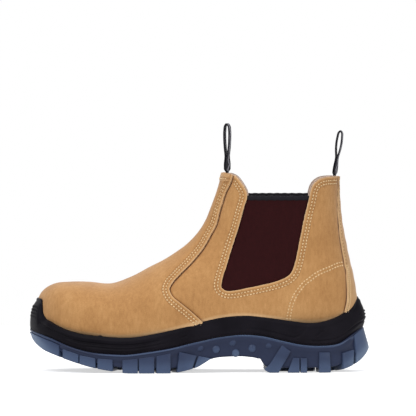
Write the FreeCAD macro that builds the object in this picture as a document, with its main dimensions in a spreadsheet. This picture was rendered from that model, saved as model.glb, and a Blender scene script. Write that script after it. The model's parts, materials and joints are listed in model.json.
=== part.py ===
import FreeCAD, Part
import math
import os

# Steel toe pull-on work boot, left foot, toe towards -X, lateral side towards -Y, standing on z = 0.
# The upper is cut from shells of one foot form. The form is skinned through closed sections that
# stand upright over the toes and fan round the ankle until they lie flat at the collar.

doc = FreeCAD.newDocument("work_boot")
os.makedirs("parts", exist_ok=True)
V = FreeCAD.Vector

# ---------------------------------------------------------------- driving dimensions (millimetres)
SIZES = {
    "boot_length": 310,            # outsole, toe to heel
    "boot_width": 112,             # outsole, at the ball of the foot
    "tab_height": 181,             # ground to the top of the front tab
    "leather": 2.0,                # upper leather
    "lining": 1.2,                 # lining cloth
    "steel": 1.8,                  # toe cap wall
    "counter": 1.8,                # heel counter wall
    "elastic": 1.2,                # gore webbing
    "layer_gap": 0.3,              # between layers of the upper
    "upper_inset": 5,              # foot of the upper behind the outsole's outline
    "lasting_margin": 15,          # leather turned in under the foot
    "flange": 9,                   # toe cap and counter edge turned in under the foot
    "cap_length": 52,              # toe cap, from the tip of the upper
    "trim_length": 7,              # soft strip behind the toe cap
    "board": 2.0,                  # insole board
    "shank_length": 105,
    "shank_width": 18,
    "shank_thick": 1.6,
    "foam": 4.5,                   # footbed foam
    "cover": 0.9,                  # footbed cloth
    "footbed_clearance": 0.9,      # footbed edge to lining
    "gore_lap": 6,                 # elastic held under the leather
    "binding_drop": 3.6,           # tape over the gore's top edge
    "webbing": 1.2,                # pull loop webbing
    "webbing_width": 14,
    "front_loop_height": 45,
    "rear_loop_height": 42,
    "loop_bow": 3.9,               # half the outside width of a loop's open end
    "loop_closed": 21,             # height over which a loop's two plies are sewn together
    "rear_lean": 8,                # degrees that the rear loop leans back
    "tail_length": 13,             # sewn-in end of the webbing
    "hinge_rise": 2.0,             # fold line of a loop above its tab
    "facing_drop": 6.5,            # folded facing at the top of the front tab
    "facing": 0.9,
    "recess": 2.4,                 # outsole wall behind the face of the lugs
    "rim": 2.6,                    # outsole rim under the midsole
    "lug_depth": 4.5,
    "stud": 3.5,                   # radius of the round arch studs
    "groove": 1.0,                 # midsole groove depth
}
sheet = doc.addObject("Spreadsheet::Sheet", "Sizes")
for row, (name, size) in enumerate(SIZES.items(), start=1):
    sheet.set("A%d" % row, name)
    sheet.set("B%d" % row, str(size))
    sheet.setAlias("B%d" % row, name)
doc.recompute()
D = {name: float(sheet.get(name)) for name in SIZES}

# The outlines below are drawn for a 310 x 112 mm sole under a 181 mm tab, and graded from there.
GRADE_X = D["boot_length"] / 310
GRADE_Y = D["boot_width"] / 112
GRADE_Z = D["tab_height"] / 181


def side(points):
    """Graded side-view points."""
    return [(x * GRADE_X, z * GRADE_Z) for x, z in points]


def plan(points):
    """Graded plan points."""
    return [(x * GRADE_X, y * GRADE_Y) for x, y in points]


def blend(value, low, high):
    """0 below low, 1 above high, smooth between."""
    share = min(1.0, max(0.0, (value - low) / (high - low)))
    return share * share * (3 - 2 * share)


# ---------------------------------------------------------------- outlines, side view (x, z)
COLLAR = 160
RIM_TOP = side([(-147.8, 66), (-147.0, 50.5), (-139.5, 46.3), (-128.6, 41), (-112, 36.3), (-90, 33.6),
                (-63, 32.6), (-41, 35.8), (-19, 40.4), (2.7, 46.6), (24.6, 51), (45, 51.9), (63, 50),
                (85, 46.9), (101, 45.2), (117.6, 47.2), (128.6, 51.2), (137, 58), (143.8, 69)])
BORDER = side([(-158, 39.5), (-155.5, 38), (-145, 33.8), (-134, 30), (-123, 25.4), (-112, 21.7),
               (-101, 19), (-79, 16.7), (-68, 16.2), (-46.5, 19), (-24.6, 22.6), (-2.7, 28),
               (19, 32.6), (38, 34.7), (57.5, 33.3), (79.3, 28), (95, 25), (112, 24.2), (128.6, 26.3),
               (139.5, 32.2), (150.8, 39), (158, 43)])
TREAD = side([(-158, 42), (-155.5, 38), (-152.8, 30), (-143.8, 21.5), (-130, 15.6), (-110, 8.7),
              (-95, 4.7), (-78, 1.8), (-63, 0)])
ARCH = side([(-25, 0), (-13.7, 2), (-2, 5.4), (10.7, 13), (30, 15.8), (45, 15), (56.3, 12.8)])
HEEL_TREAD = side([(120, 0), (130, 2.5), (141, 6.8), (148.7, 12.2), (154, 18.7), (156, 24), (157, 40)])
TOP_LINE = side([(33, 178), (39, 171), (42.6, 164), (43.7, COLLAR)])
REAR_TOP_LINE = side([(100.6, COLLAR), (101.2, 164), (103, 169.5), (106.5, 173.8), (112, 176.6),
                      (119, 177.8), (140, 178)])
VAMP_SEAM = side([(30, 195), (30, 172), (24.6, 164), (21.3, 154), (15.8, 134.7), (11, 125.4),
                  (2.7, 111.4), (-7.5, 99.3), (-17.7, 89), (-26, 79.2)])
VAMP_SEAM_LOW = side([(-26, 79.2), (-25.2, 71), (-16.9, 63.5), (-2.8, 51), (30, 20)])
BACKSTAY_SEAM = side([(127.6, 200), (127.2, 173), (126.4, 146.6), (127.5, 129), (130.2, 110),
                      (133.6, 92.4), (134.6, 75), (134.6, 30)])
GORE_FRONT = side([(43.4, 166), (43.2, 158.9), (35.6, 132), (30, 114.7), (24.6, 96.5), (20.5, 82)])
GORE_FOOT = side([(20.5, 82), (20.2, 78.2), (23.7, 74.9), (32.8, 75), (43.2, 77), (59.7, 80.4),
                  (72, 83.7), (78.4, 86.5), (83, 90), (86.3, 96.8), (88, 103.4)])
GORE_REAR = side([(88, 103.4), (91.8, 122), (96.2, 143), (100.7, 158.9), (102.2, 166)])
COUNTER_EDGE = side([(140, 100), (133, 98.9), (124.7, 97.4), (111.8, 92), (100.9, 85), (91.7, 76.5),
                     (85, 65.5), (82.2, 55), (80, 20)])
# ---------------------------------------------------------------- outline, plan view (x, y)
SOLE_PLAN = plan([(-155.3, 8), (-151.5, -10), (-141, -28), (-122, -43), (-95, -52), (-65, -56),
                  (-35, -55), (0, -49), (35, -44), (70, -41.5), (100, -41), (125, -36), (144, -23),
                  (155.2, -4), (153.7, 8), (143.6, 22), (125, 32), (105, 36), (80, 35.5), (50, 34.5),
                  (20, 36.5), (-10, 42.5), (-40, 51), (-70, 56), (-95, 54.5), (-120, 48), (-140, 36),
                  (-151, 23)])
# ---------------------------------------------------------------- sections of the foot form
# front or top point, back or bottom point, centre y, half width, height of the widest line as a
# share, roundness above it and below it (2 is an ellipse, more is squarer)
SECTIONS = [
    ((-147.4, 67), (-147.4, 50), 9, 9, .50, 2.2, 2.2),
    ((-145.2, 71.4), (-145.2, 44.5), 9, 18, .45, 2.2, 3.0),
    ((-140, 76.2), (-140, 40), 8.5, 27.5, .42, 2.3, 3.5),
    ((-131, 80.2), (-131, 35.5), 7, 36.5, .40, 2.4, 4.0),
    ((-118, 81.4), (-118, 31.5), 5, 43.5, .38, 2.5, 4.0),
    ((-100, 81.2), (-100, 28), 3.5, 48, .36, 2.5, 4.0),
    ((-80, 80.2), (-80, 25.5), 1.5, 50.5, .34, 2.4, 4.0),
    ((-62, 86.5), (-60, 24.5), 0, 50.5, .34, 2.2, 4.0),
    ((-46.5, 94.6), (-38, 26), -2, 49, .34, 2.0, 4.0),
    ((-33, 101.6), (-8, 31), -4, 45.5, .32, 2.0, 4.0),
    ((-22, 108.6), (26, 36.5), -4.5, 41, .32, 2.0, 3.8),
    ((-11, 117), (62, 37.8), -3.5, 37.5, .34, 2.0, 3.5),
    ((-1, 127.6), (97, 36.4), -3, 35.5, .38, 2.05, 3.0),
    ((6, 139), (128, 38), -2.5, 35, .45, 2.1, 2.6),
    ((11, 151), (142.6, 57), -1.5, 35, .50, 2.2, 2.4),
    ((14.6, 160.5), (141, 82), -1, 35.5, .50, 2.25, 2.3),
    ((17, 167.6), (134.6, 110), -.5, 36, .50, 2.3, 2.3),
    ((19, 174.4), (129.2, 140), 0, 36.5, .50, 2.35, 2.35),
    ((21, 181.4), (127.6, 165), 0, 37, .50, 2.4, 2.4),
    ((24, 192), (128.6, 192), 0, 37.5, .50, 2.4, 2.4),
]
COLUMNS = 48
FINE = 360


def section(top, bottom, centre, half_width, widest, above, below):
    """Points round one section, from its front or top point, evenly spaced."""
    top = V(top[0] * GRADE_X, centre * GRADE_Y, top[1] * GRADE_Z)
    bottom = V(bottom[0] * GRADE_X, centre * GRADE_Y, bottom[1] * GRADE_Z)
    middle = bottom + (top - bottom) * widest
    fine = []
    for step in range(FINE + 1):
        angle = 2 * math.pi * step / FINE
        power = 2 / (above if math.cos(angle) > 0 else below)
        end = top if math.cos(angle) > 0 else bottom
        along = abs(math.cos(angle)) ** power
        across = math.copysign(abs(math.sin(angle)) ** power, math.sin(angle))
        fine.append(middle + (end - middle) * along + V(0, -half_width * GRADE_Y * across, 0))
    lengths = [0.0]
    for first, second in zip(fine, fine[1:]):
        lengths.append(lengths[-1] + first.distanceToPoint(second))
    points, at = [], 0
    for column in range(COLUMNS):
        goal = lengths[-1] * column / COLUMNS
        while lengths[at + 1] < goal:
            at += 1
        share = (goal - lengths[at]) / (lengths[at + 1] - lengths[at])
        points.append(fine[at] + (fine[at + 1] - fine[at]) * share)
    return points


GRID = [section(*row) for row in SECTIONS]


def grid_parameters(grid):
    """One parameter per section, by the mean distance between sections."""
    steps = [0.0]
    for first, second in zip(grid, grid[1:]):
        gap = sum(a.distanceToPoint(b) for a, b in zip(first, second)) / COLUMNS
        steps.append(steps[-1] + gap)
    return [step / steps[-1] for step in steps]


AROUND = [column / COLUMNS for column in range(COLUMNS + 1)]
ALONG = grid_parameters(GRID)


def skin(grid):
    """A smooth surface through a grid of points, closed round each section."""
    rings = []
    for row in grid:
        ring = Part.BSplineCurve()
        ring.interpolate(Points=row, PeriodicFlag=True, Parameters=AROUND)
        rings.append(ring)
    lines = []
    for pole in range(1, rings[0].NbPoles + 1):
        line = Part.BSplineCurve()
        line.interpolate(Points=[ring.getPole(pole) for ring in rings], Parameters=ALONG)
        lines.append(line)
    surface = Part.BSplineSurface()
    surface.buildFromPolesMultsKnots(
        [line.getPoles() for line in lines], rings[0].getMultiplicities(),
        lines[0].getMultiplicities(), rings[0].getKnots(), lines[0].getKnots(), True, False, 3, 3)
    return surface


OUTER = skin(GRID)


def inward(row, column):
    """Unit direction into the form at one grid point, kept in the plane of the two end sections."""
    point = GRID[row][column]
    normal = OUTER.normal(AROUND[column], ALONG[row])
    centre = sum(GRID[row], V()) * (1 / COLUMNS)
    if row in (0, len(GRID) - 1):
        across = (GRID[row][COLUMNS // 4] - centre).cross(GRID[row][0] - centre).normalize()
        normal = (normal - across * normal.dot(across)).normalize()
    if normal.dot(centre - point) < 0:
        normal = normal * -1
    return normal


INWARD = [[inward(row, column) for column in range(COLUMNS)] for row in range(len(GRID))]


def form(depth):
    """The foot form, smaller all round by a depth that may change from place to place."""
    grid = []
    for row, points in enumerate(GRID):
        ring = []
        for column, point in enumerate(points):
            moved = point + INWARD[row][column] * depth(point)
            if row == 0:
                moved = moved + V(depth(points[0]), 0, 0)
            ring.append(moved)
        grid.append(ring)
    wall = skin(grid).toShape()
    rounds = [edge for edge in wall.Edges if edge.isClosed()]
    ends = [Part.Face(Part.Wire([edge])) for edge in rounds]
    shell = Part.Shell([wall] + ends)
    solid = Part.Solid(shell)
    solid.fix(0.001, 0.001, 0.001)
    if solid.Volume < 0:
        solid.reverse()
    return solid


# ---------------------------------------------------------------- regions, cut through the boot
FAR = 90 * GRADE_Y                  # clear of the boot on either side
HIGH = 260 * max(GRADE_X, GRADE_Z)  # clear of it lengthwise and above


def wire_of(*runs):
    """One closed wire: each run of points is a smooth curve, joined to the next by a straight line."""
    edges = []
    ends = [run[0] for run in runs[1:]] + [runs[0][0]]
    for run, following in zip(runs, ends):
        if len(run) > 1:
            curve = Part.BSplineCurve()
            curve.interpolate(Points=run)
            edges.append(curve.toShape())
        if run[-1].distanceToPoint(following) > 1e-6:
            edges.append(Part.makeLine(run[-1], following))
    return Part.Wire(edges)


def side_wire(*runs):
    return wire_of(*[[V(x, -FAR, z) for x, z in run] for run in runs])


def through(wire, start=-FAR, end=FAR):
    """A side-view outline run across the boot from one y to another."""
    face = Part.Face(wire)
    face.translate(V(0, start + FAR, 0))
    return face.extrude(V(0, end - start, 0))


def box(x0, x1, y0, y1, z0, z1):
    return Part.makeBox(x1 - x0, y1 - y0, z1 - z0, V(x0, y0, z0))


def line(*points):
    """Graded side-view points that are joined by straight lines."""
    return [[point] for point in side(points)]


def plan_prism(inset, low, high):
    """The sole's plan outline, smaller all round by an inset, from one height to another."""
    points = [V(x, y, 0) for x, y in SOLE_PLAN]
    curve = Part.BSplineCurve()
    curve.interpolate(Points=points, PeriodicFlag=True)
    if inset:
        moved = []
        for index in range(96):
            at = curve.FirstParameter + (curve.LastParameter - curve.FirstParameter) * index / 96
            tangent = curve.tangent(at)[0]
            normal = V(-tangent.y, tangent.x, 0).normalize()
            point = curve.value(at)
            if normal.dot(point) > 0:
                normal = normal * -1
            moved.append(point + normal * inset)
        curve = Part.BSplineCurve()
        curve.interpolate(Points=moved, PeriodicFlag=True)
    face = Part.Face(Part.Wire([curve.toShape()]))
    face.translate(V(0, 0, low))
    return face.extrude(V(0, 0, high - low))


def only(shape):
    """The largest solid of a boolean's result, without its slivers."""
    solid = max(shape.Solids, key=lambda solid: solid.Volume)
    if solid.Volume <= 0:
        raise RuntimeError("a cut left nothing")
    return solid


collar = COLLAR * GRADE_Z
below_top = through(side_wire(*line((-160, -5), (-160, 200), (0, 200), (20.9, 181.2), (27.9, 180.8)),
                              TOP_LINE, REAR_TOP_LINE, *line((160, 178), (160, -5))))
vamp_side = through(side_wire(*line((-160, 0), (-160, 200)), VAMP_SEAM, VAMP_SEAM_LOW, *line((30, 0))))
rear_strip = through(side_wire(BACKSTAY_SEAM, *line((160, 30), (160, 200))))
gore_window = through(side_wire(GORE_FRONT, GORE_FOOT, GORE_REAR))
counter_side = through(side_wire(COUNTER_EDGE, *line((160, 20), (160, 100))))

# ---------------------------------------------------------------- layers of the upper
leather = D["leather"]
under = leather + D["layer_gap"]
hard = max(D["steel"], D["counter"]) + D["layer_gap"]
tail_thick = 2 * D["webbing"]
TAIL_SEAT = .45                    # the leather's hollow over the width of a flat tail
tail_room = TAIL_SEAT + tail_thick + 2 * D["layer_gap"]
cap_end = (-147.4 * GRADE_X) + D["cap_length"]
trim_end = cap_end + D["layer_gap"] + D["trim_length"]
RAMP = 12


def lining_depth(point):
    """The lining runs just under the leather, and deeper over the cap, the counter and the tails."""
    over_cap = 1 - blend(point.x, trim_end + 8, trim_end + 8 + RAMP)
    over_counter = blend(point.x - .55 * max(0, point.z - 60), 56 * GRADE_X, 56 * GRADE_X + RAMP) \
        * (1 - blend(point.z, 108 * GRADE_Z, 108 * GRADE_Z + RAMP))
    middle = 1 - blend(abs(point.y), D["webbing_width"] / 2 + 2, D["webbing_width"] / 2 + 2 + RAMP)
    over_tail = blend(point.z, collar - 6, collar + 2) * middle
    return under + max(hard * over_cap, hard * over_counter, tail_room * over_tail)


outer = form(lambda point: 0.0)
leather_inside = form(lambda point: leather)
second = form(lambda point: under)
cap_inside = form(lambda point: under + D["steel"])
counter_inside = form(lambda point: under + D["counter"])
lining_outside = form(lining_depth)
lining_inside = form(lambda point: lining_depth(point) + D["lining"])
footbed_space = form(lambda point: lining_depth(point) + D["lining"] + D["footbed_clearance"])
elastic_inside = form(lambda point: under + D["elastic"])
TAPE = 0.6                         # binding tape over each face of the elastic
tape_outside = form(lambda point: under - TAPE)
tape_inside = form(lambda point: under + D["elastic"] + TAPE)

# The board and the footbed lie on lines that follow the bottom of the form.
BOTTOM = side([bottom for top, bottom, *rest in SECTIONS[:13]] + [(122, 37.2), (160, 42)])


def floor_line(rise):
    """The form's bottom line, higher by a rise and by the lining's depth there."""
    return [(x, z + rise + lining_depth(V(x, 40, z))) for x, z in BOTTOM]


def above(rise):
    left, right = BOTTOM[0][0], BOTTOM[-1][0]
    return through(side_wire(floor_line(rise), [(right, 250)], [(left - 20, 250)],
                             [(left - 20, floor_line(rise)[0][1])]))


over_board = above(D["board"])
over_foam = above(D["board"] + D["layer_gap"] + D["foam"])
over_cover = above(D["board"] + D["layer_gap"] + D["foam"] + D["cover"])
footbed_base = above(D["board"] + D["layer_gap"])

nodes = {}


def add(name, shape):
    """A sub-part whose shape comes from the form's surfaces."""
    piece = doc.addObject("Part::Feature", name)
    piece.Label = name
    piece.Shape = shape
    nodes[name] = piece


# ---------------------------------------------------------------- leather
FORM_FOOT = 45 * GRADE_Z            # above the whole bottom of the form
window = plan_prism(D["upper_inset"] + D["lasting_margin"], -4, FORM_FOOT + 1)
upper = outer.cut(leather_inside).cut(window).common(below_top)
add("vamp", only(upper.common(vamp_side)))
add("backstay", only(upper.cut(vamp_side).common(rear_strip)))
quarters = upper.cut(vamp_side).cut(rear_strip).cut(gore_window)
SIDES = (("lateral", -FAR, 0), ("medial", 0, FAR))
for name, start, end in SIDES:
    add(name + "_quarter", only(quarters.common(box(-HIGH, HIGH, start, end, -HIGH, HIGH))))

# ---------------------------------------------------------------- toe cap, counter, board, shank
flange_window = plan_prism(D["upper_inset"] + leather + D["flange"], 0, FORM_FOOT)
cap_shell = second.cut(cap_inside).cut(flange_window)
add("toe_cap", only(cap_shell.common(box(-HIGH, cap_end, -FAR, FAR, 0, HIGH))))
trim = second.cut(cap_inside).common(over_board)
add("toe_cap_edge_trim", only(trim.common(
    box(cap_end + D["layer_gap"] / 3, trim_end, -FAR, FAR, 0, HIGH))))
add("heel_counter", only(second.cut(counter_inside).cut(flange_window).common(counter_side)))
add("insole_board", only(lining_outside.cut(over_board)))

# ---------------------------------------------------------------- elastic gores and linings
lap = D["gore_lap"]
GORE_FOOT_LAPPED = [(x, z - lap) for x, z in GORE_FOOT]
front_lapped = [(x - lap, z) for x, z in GORE_FRONT]
rear_lapped = [(x + lap, z) for x, z in GORE_REAR]
lapped = [front_lapped[0], front_lapped[2], front_lapped[-2], front_lapped[-1],
          (GORE_FOOT[2][0], GORE_FOOT_LAPPED[2][1]), GORE_FOOT_LAPPED[5],
          (GORE_FOOT[8][0] + lap * .7, GORE_FOOT_LAPPED[8][1] + lap * .4), rear_lapped[1], rear_lapped[-1]]
lapped_window = through(side_wire(lapped))
elastic = second.cut(elastic_inside).common(lapped_window).common(below_top)
linings = lining_outside.cut(lining_inside).common(below_top).common(over_board)
VAMP_LINING_END = 4 * GRADE_X
HEEL_LINING_TOP = 112 * GRADE_Z
rear_lining = box(78 * GRADE_X, HIGH, -FAR, FAR, 0, HEEL_LINING_TOP)
front_lining = box(-HIGH, VAMP_LINING_END, -FAR, FAR, 0, HIGH)
add("vamp_lining", only(linings.common(front_lining)))
add("heel_lining", only(linings.common(rear_lining).cut(lapped_window)))
for name, start, end in SIDES:
    half = box(-HIGH, HIGH, start, end, -HIGH, HIGH)
    add(name + "_gore", only(elastic.common(half)))
    band = through(side_wire(*line((0, COLLAR - D["binding_drop"] / GRADE_Z), (0, COLLAR),
                                   (120, COLLAR), (120, COLLAR - D["binding_drop"] / GRADE_Z))))
    tape = tape_outside.cut(tape_inside).common(band).common(gore_window).common(half)
    add(name + "_gore_binding", only(tape.cut(nodes[name + "_gore"].Shape)))
    lining = linings.cut(front_lining).cut(rear_lining).cut(lapped_window).common(half)
    add(name + "_quarter_lining", only(lining))

# ---------------------------------------------------------------- footbed
bed = footbed_space.common(footbed_base)
add("footbed_foam", only(bed.cut(over_foam)))
add("footbed_cover", only(bed.common(over_foam).cut(over_cover)))

# ---------------------------------------------------------------- midsole
below_rim = through(side_wire(*line((-160, 10), (-160, 66)), RIM_TOP, *line((160, 69), (160, 10))))
above_border = through(side_wire(BORDER, *line((158, 200), (-158, 200))))
cup = plan_prism(0, 0, 100).common(below_rim).common(above_border)
skin_of_cup = plan_prism(-5, 0, 100).cut(plan_prism(D["groove"], 0, 100))
GROOVE_DROPS = (6.5, 10, 13.5)
GROOVE_TALL = 1.3
for drop in GROOVE_DROPS:
    upper_edge, lower_edge = below_rim.copy(), below_rim.copy()
    upper_edge.translate(V(0, 0, -drop))
    lower_edge.translate(V(0, 0, -drop - GROOVE_TALL))
    reach = box(-129 * GRADE_X, (-19 - 2 * drop) * GRADE_X, -FAR, FAR, 0, 100)
    cup = cup.cut(upper_edge.cut(lower_edge).common(reach).common(skin_of_cup))
add("midsole", only(cup.cut(outer)))

# The shank lies in the hollow that the turned-in leather leaves under the board.
waist = 22 * GRADE_X
add("shank", only(outer.cut(form(lambda point: D["shank_thick"])).common(
    box(waist - D["shank_length"] / 2, waist + D["shank_length"] / 2,
        -4 - D["shank_width"] / 2, -4 + D["shank_width"] / 2, 0, 48 * GRADE_Z))))

# ---------------------------------------------------------------- outsole
below_border = through(side_wire(BORDER, *line((158, -20), (-158, -20))))
over_tread = through(side_wire(TREAD, ARCH, *line((58.6, 2.8), (63, 0)), HEEL_TREAD,
                               *line((160, 200), (-160, 200))))
sole_block = plan_prism(0, -5, 60).common(below_border).common(over_tread)
raised = over_tread.copy()
raised.translate(V(0, 0, D["lug_depth"]))
inner_block = plan_prism(D["recess"], -5, 60).common(below_border)
core = inner_block.common(raised)
# The arch has no lugs, so there the core itself comes down to the outline.
arch = inner_block.common(over_tread).common(box(-16 * GRADE_X, 60 * GRADE_X, -FAR, FAR, -5, 60))
lowered = below_border.copy()
lowered.translate(V(0, 0, -D["rim"]))
rim = sole_block.cut(lowered)
# Each side lug: from x, to x, top z, inner edge from the middle.
LUGS = [(-146, -128, 31, 14), (-124, -110.4, 18, 14), (-108.5, -94.3, 13, 14), (-92.5, -78, 11, 14),
        (-70, -56, 10.5, 14), (-54.7, -41, 11.5, 14), (-39, -26, 13.5, 14), (-18.4, -4, 17, 12),
        (-1.8, 10.7, 20, 12), (58, 78, 24, 11), (81, 98.3, 13.2, 11), (109.2, 119.6, 18.4, 11),
        (130, 141, 18.4, 9), (144.3, 158, 39, -1)]
MIDDLE_LUGS = [(-132, -118), (-113, -100), (-96, -85), (-80, -66), (-62, -50), (-46, -34), (-30, -16),
               (66, 86), (92, 106), (112, 126)]
lugs = []
for start, end, top, inner in LUGS:
    for face in (-1, 1):
        y0, y1 = sorted((face * inner * GRADE_Y, face * FAR))
        lugs.append(box(start * GRADE_X, end * GRADE_X, y0, y1, -5, top * GRADE_Z).common(sole_block))
for start, end in MIDDLE_LUGS:
    middle = box(start * GRADE_X, end * GRADE_X, -8 * GRADE_Y, 8 * GRADE_Y, -5, 20 * GRADE_Z)
    lugs.append(middle.common(sole_block))
toe_bar = box(-160 * GRADE_X, -146 * GRADE_X, -20 * GRADE_Y, 30 * GRADE_Y, -5, 36 * GRADE_Z)
lugs.append(toe_bar.common(sole_block))
STUD_PLACES = side([(0.4, 23.2), (15.8, 21.4), (30, 28), (33.7, 18.4), (48, 22.4), (62.8, 25.6)])
STUD_PROUD = 1.2
stud_limit = plan_prism(D["recess"] - STUD_PROUD, -5, 60)
for x, z in STUD_PLACES:
    pin = Part.makeCylinder(D["stud"], 2 * FAR, V(x, -FAR, z), V(0, 1, 0))
    lugs.append(pin.common(stud_limit).cut(box(x - 9, x + 9, -20 * GRADE_Y, 20 * GRADE_Y, -5, 60)))
add("outsole", only(core.multiFuse([rim, arch] + lugs).removeSplitter()))

# ---------------------------------------------------------------- front facing
facing_band = box(-HIGH, 34 * GRADE_X, -FAR, FAR, D["tab_height"] - D["facing_drop"], HIGH)
folded = form(lambda point: -D["facing"]).cut(outer).common(below_top).common(facing_band)
add("front_tab_facing", only(folded.common(vamp_side)))


# ---------------------------------------------------------------- webbing pull loops
def wall_point(column, height):
    """The form's silhouette at a height: column 0 is the front, half way round is the back."""
    low, high = 0.5, 1.0
    for step in range(40):
        middle = (low + high) / 2
        if OUTER.value(AROUND[column], middle).z < height:
            low = middle
        else:
            high = middle
    return OUTER.value(AROUND[column], low)


def bound(kind, name, **sizes):
    """A document object whose sizes are bound to the sheet."""
    piece = doc.addObject(kind, name)
    for size, expression in sizes.items():
        piece.setExpression(size, expression)
    return piece


def pull_loop(name, column, top, height, lean):
    """A sewn-in tail between leather and lining, and the loop that folds about the tab's edge."""
    inward_sign = 1 if column == 0 else -1
    high, low = wall_point(column, top), wall_point(column, top - D["tail_length"])
    slope = (high.x - low.x) / (high.z - low.z)
    slant = math.degrees(math.atan(slope))
    seat = leather + TAIL_SEAT + D["layer_gap"] + D["webbing"]
    middle_x = high.x + inward_sign * seat / math.cos(math.radians(slant))
    axis = V(middle_x + slope * D["hinge_rise"], 0, top + D["hinge_rise"])
    tail = bound("Part::Box", name + "_loop_tail", Length="2 * Sizes.webbing",
                 Width="Sizes.webbing_width",
                 Height="Sizes.tail_length + Sizes.hinge_rise - Sizes.webbing - 3 * Sizes.layer_gap")
    turn = FreeCAD.Rotation(V(0, 1, 0), slant)
    corner = V(-D["webbing"], -D["webbing_width"] / 2, -D["tail_length"] - D["hinge_rise"])
    tail.Placement = FreeCAD.Placement(axis + turn.multVec(corner), turn)
    nodes[name + "_loop_tail"] = tail

    half = -D["webbing_width"] / 2
    strip = bound("Part::Box", name + "_strip", Length="2 * Sizes.webbing",
                  Width="Sizes.webbing_width", Height="Sizes.loop_closed")
    strip.Placement.Base = V(-D["webbing"], half, 0)
    fold = bound("Part::Cylinder", name + "_fold", Radius="Sizes.webbing",
                 Height="Sizes.webbing_width")
    fold.Placement = FreeCAD.Placement(V(0, half, 0), FreeCAD.Rotation(V(1, 0, 0), -90))
    plies = []
    for label, less in (("outside", "0"), ("inside", "Sizes.webbing")):
        eye = bound("Part::Ellipse", name + "_eye_" + label,
                    MajorRadius="(Sizes.%s - Sizes.loop_closed) / 2 + Sizes.webbing - %s" % (height, less),
                    MinorRadius="Sizes.loop_bow - %s" % less)
        eye.Placement = FreeCAD.Placement(
            V(0, half, (D[height] + D["loop_closed"]) / 2 - D["webbing"]),
            FreeCAD.Rotation(V(0, 0, 1), V(1, 0, 0), V(0, -1, 0)))
        ply = bound("Part::Extrusion", name + "_ply_" + label, LengthFwd="Sizes.webbing_width")
        ply.Base = eye
        ply.Dir = V(0, 1, 0)
        ply.DirMode = "Custom"
        ply.Solid = True
        plies.append(ply)
    band = doc.addObject("Part::MultiFuse", name + "_band")
    band.Shapes = [strip, fold, plies[0]]
    loop = doc.addObject("Part::Cut", name + "_pull_loop")
    loop.Base, loop.Tool = band, plies[1]
    loop.Placement = FreeCAD.Placement(axis, FreeCAD.Rotation(V(0, 1, 0), lean))
    loop.Label = name + "_pull_loop"
    nodes[name + "_pull_loop"] = loop
    print("%s loop hinge at x %.3f z %.3f" % (name, axis.x, axis.z))


REAR_TAB_TOP = 178 * GRADE_Z
pull_loop("front", 0, D["tab_height"], "front_loop_height", 0)
pull_loop("rear", COLUMNS // 2, REAR_TAB_TOP, "rear_loop_height", D["rear_lean"])

# ---------------------------------------------------------------- checks and export
doc.recompute()
for thing in doc.Objects:
    if "Invalid" in thing.State or "Error" in thing.State:
        raise RuntimeError("%s did not build: %s" % (thing.Name, thing.State))
for name, piece in nodes.items():
    shape = piece.Shape
    if shape.isNull() or not shape.isValid() or not shape.Solids:
        raise RuntimeError("%s has no valid solid" % name)
for name, piece in nodes.items():
    piece.Shape.exportStep("parts/%s.step" % name)
    box_of = piece.Shape.BoundBox
    print("%-24s %9.1f mm3, %d solid" % (name, piece.Shape.Volume, len(piece.Shape.Solids)))
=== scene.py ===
# %% [markdown]
# # A steel toe pull-on work boot
# The engineering model arrives as a fixed frame: every piece already has its place and size in metres,
# with the toe towards -X, the heel towards +X and the outer side of this left boot towards -Y.
# This lesson dresses that frame. We build the leather, elastic, webbing, stitching and the moulded sole
# as detailed pieces that sit where the frame says, and give each one a material made of nodes.

# %% Load the frame
import bisect
import json
import math

import bmesh
import bpy
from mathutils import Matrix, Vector
from mathutils.bvhtree import BVHTree
from mathutils.kdtree import KDTree

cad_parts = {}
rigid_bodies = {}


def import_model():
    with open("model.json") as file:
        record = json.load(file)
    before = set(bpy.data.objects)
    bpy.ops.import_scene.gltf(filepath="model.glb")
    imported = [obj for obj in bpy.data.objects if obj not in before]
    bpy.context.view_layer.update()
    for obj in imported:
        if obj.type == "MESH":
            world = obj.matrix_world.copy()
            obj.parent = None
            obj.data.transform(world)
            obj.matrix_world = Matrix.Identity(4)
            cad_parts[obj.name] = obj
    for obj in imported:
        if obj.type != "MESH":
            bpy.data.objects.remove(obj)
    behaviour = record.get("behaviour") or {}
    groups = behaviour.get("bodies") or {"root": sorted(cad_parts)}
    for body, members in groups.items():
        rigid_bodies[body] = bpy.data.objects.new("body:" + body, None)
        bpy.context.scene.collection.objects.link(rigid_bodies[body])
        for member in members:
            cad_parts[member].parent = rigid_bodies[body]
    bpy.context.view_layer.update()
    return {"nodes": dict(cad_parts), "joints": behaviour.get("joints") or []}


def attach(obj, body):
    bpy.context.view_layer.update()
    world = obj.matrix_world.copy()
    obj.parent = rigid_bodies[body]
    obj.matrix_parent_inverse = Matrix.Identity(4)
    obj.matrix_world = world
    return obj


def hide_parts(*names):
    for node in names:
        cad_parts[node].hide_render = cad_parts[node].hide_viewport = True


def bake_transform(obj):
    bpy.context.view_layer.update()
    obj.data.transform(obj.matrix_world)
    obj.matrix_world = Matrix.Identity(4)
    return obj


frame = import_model()
MM = 0.001

# %% [markdown]
# ## Camera and studio
# The boot is seen square from its outer side, through a very long lens from six metres away, with the
# camera just above the floor. A long lens keeps the sole from spreading towards the viewer.
# The floor and backdrop are white to the camera, and the floor still takes the boot's soft shadow.

# %% Camera
VIEW_CENTRE = Vector((8 * MM, 0, 149.0 * MM))
VIEW_WIDTH = 380.6 * MM
VIEW_DISTANCE = 6.0
VIEW_ELEVATION = math.radians(1.3)
SENSOR = 36.0

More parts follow.
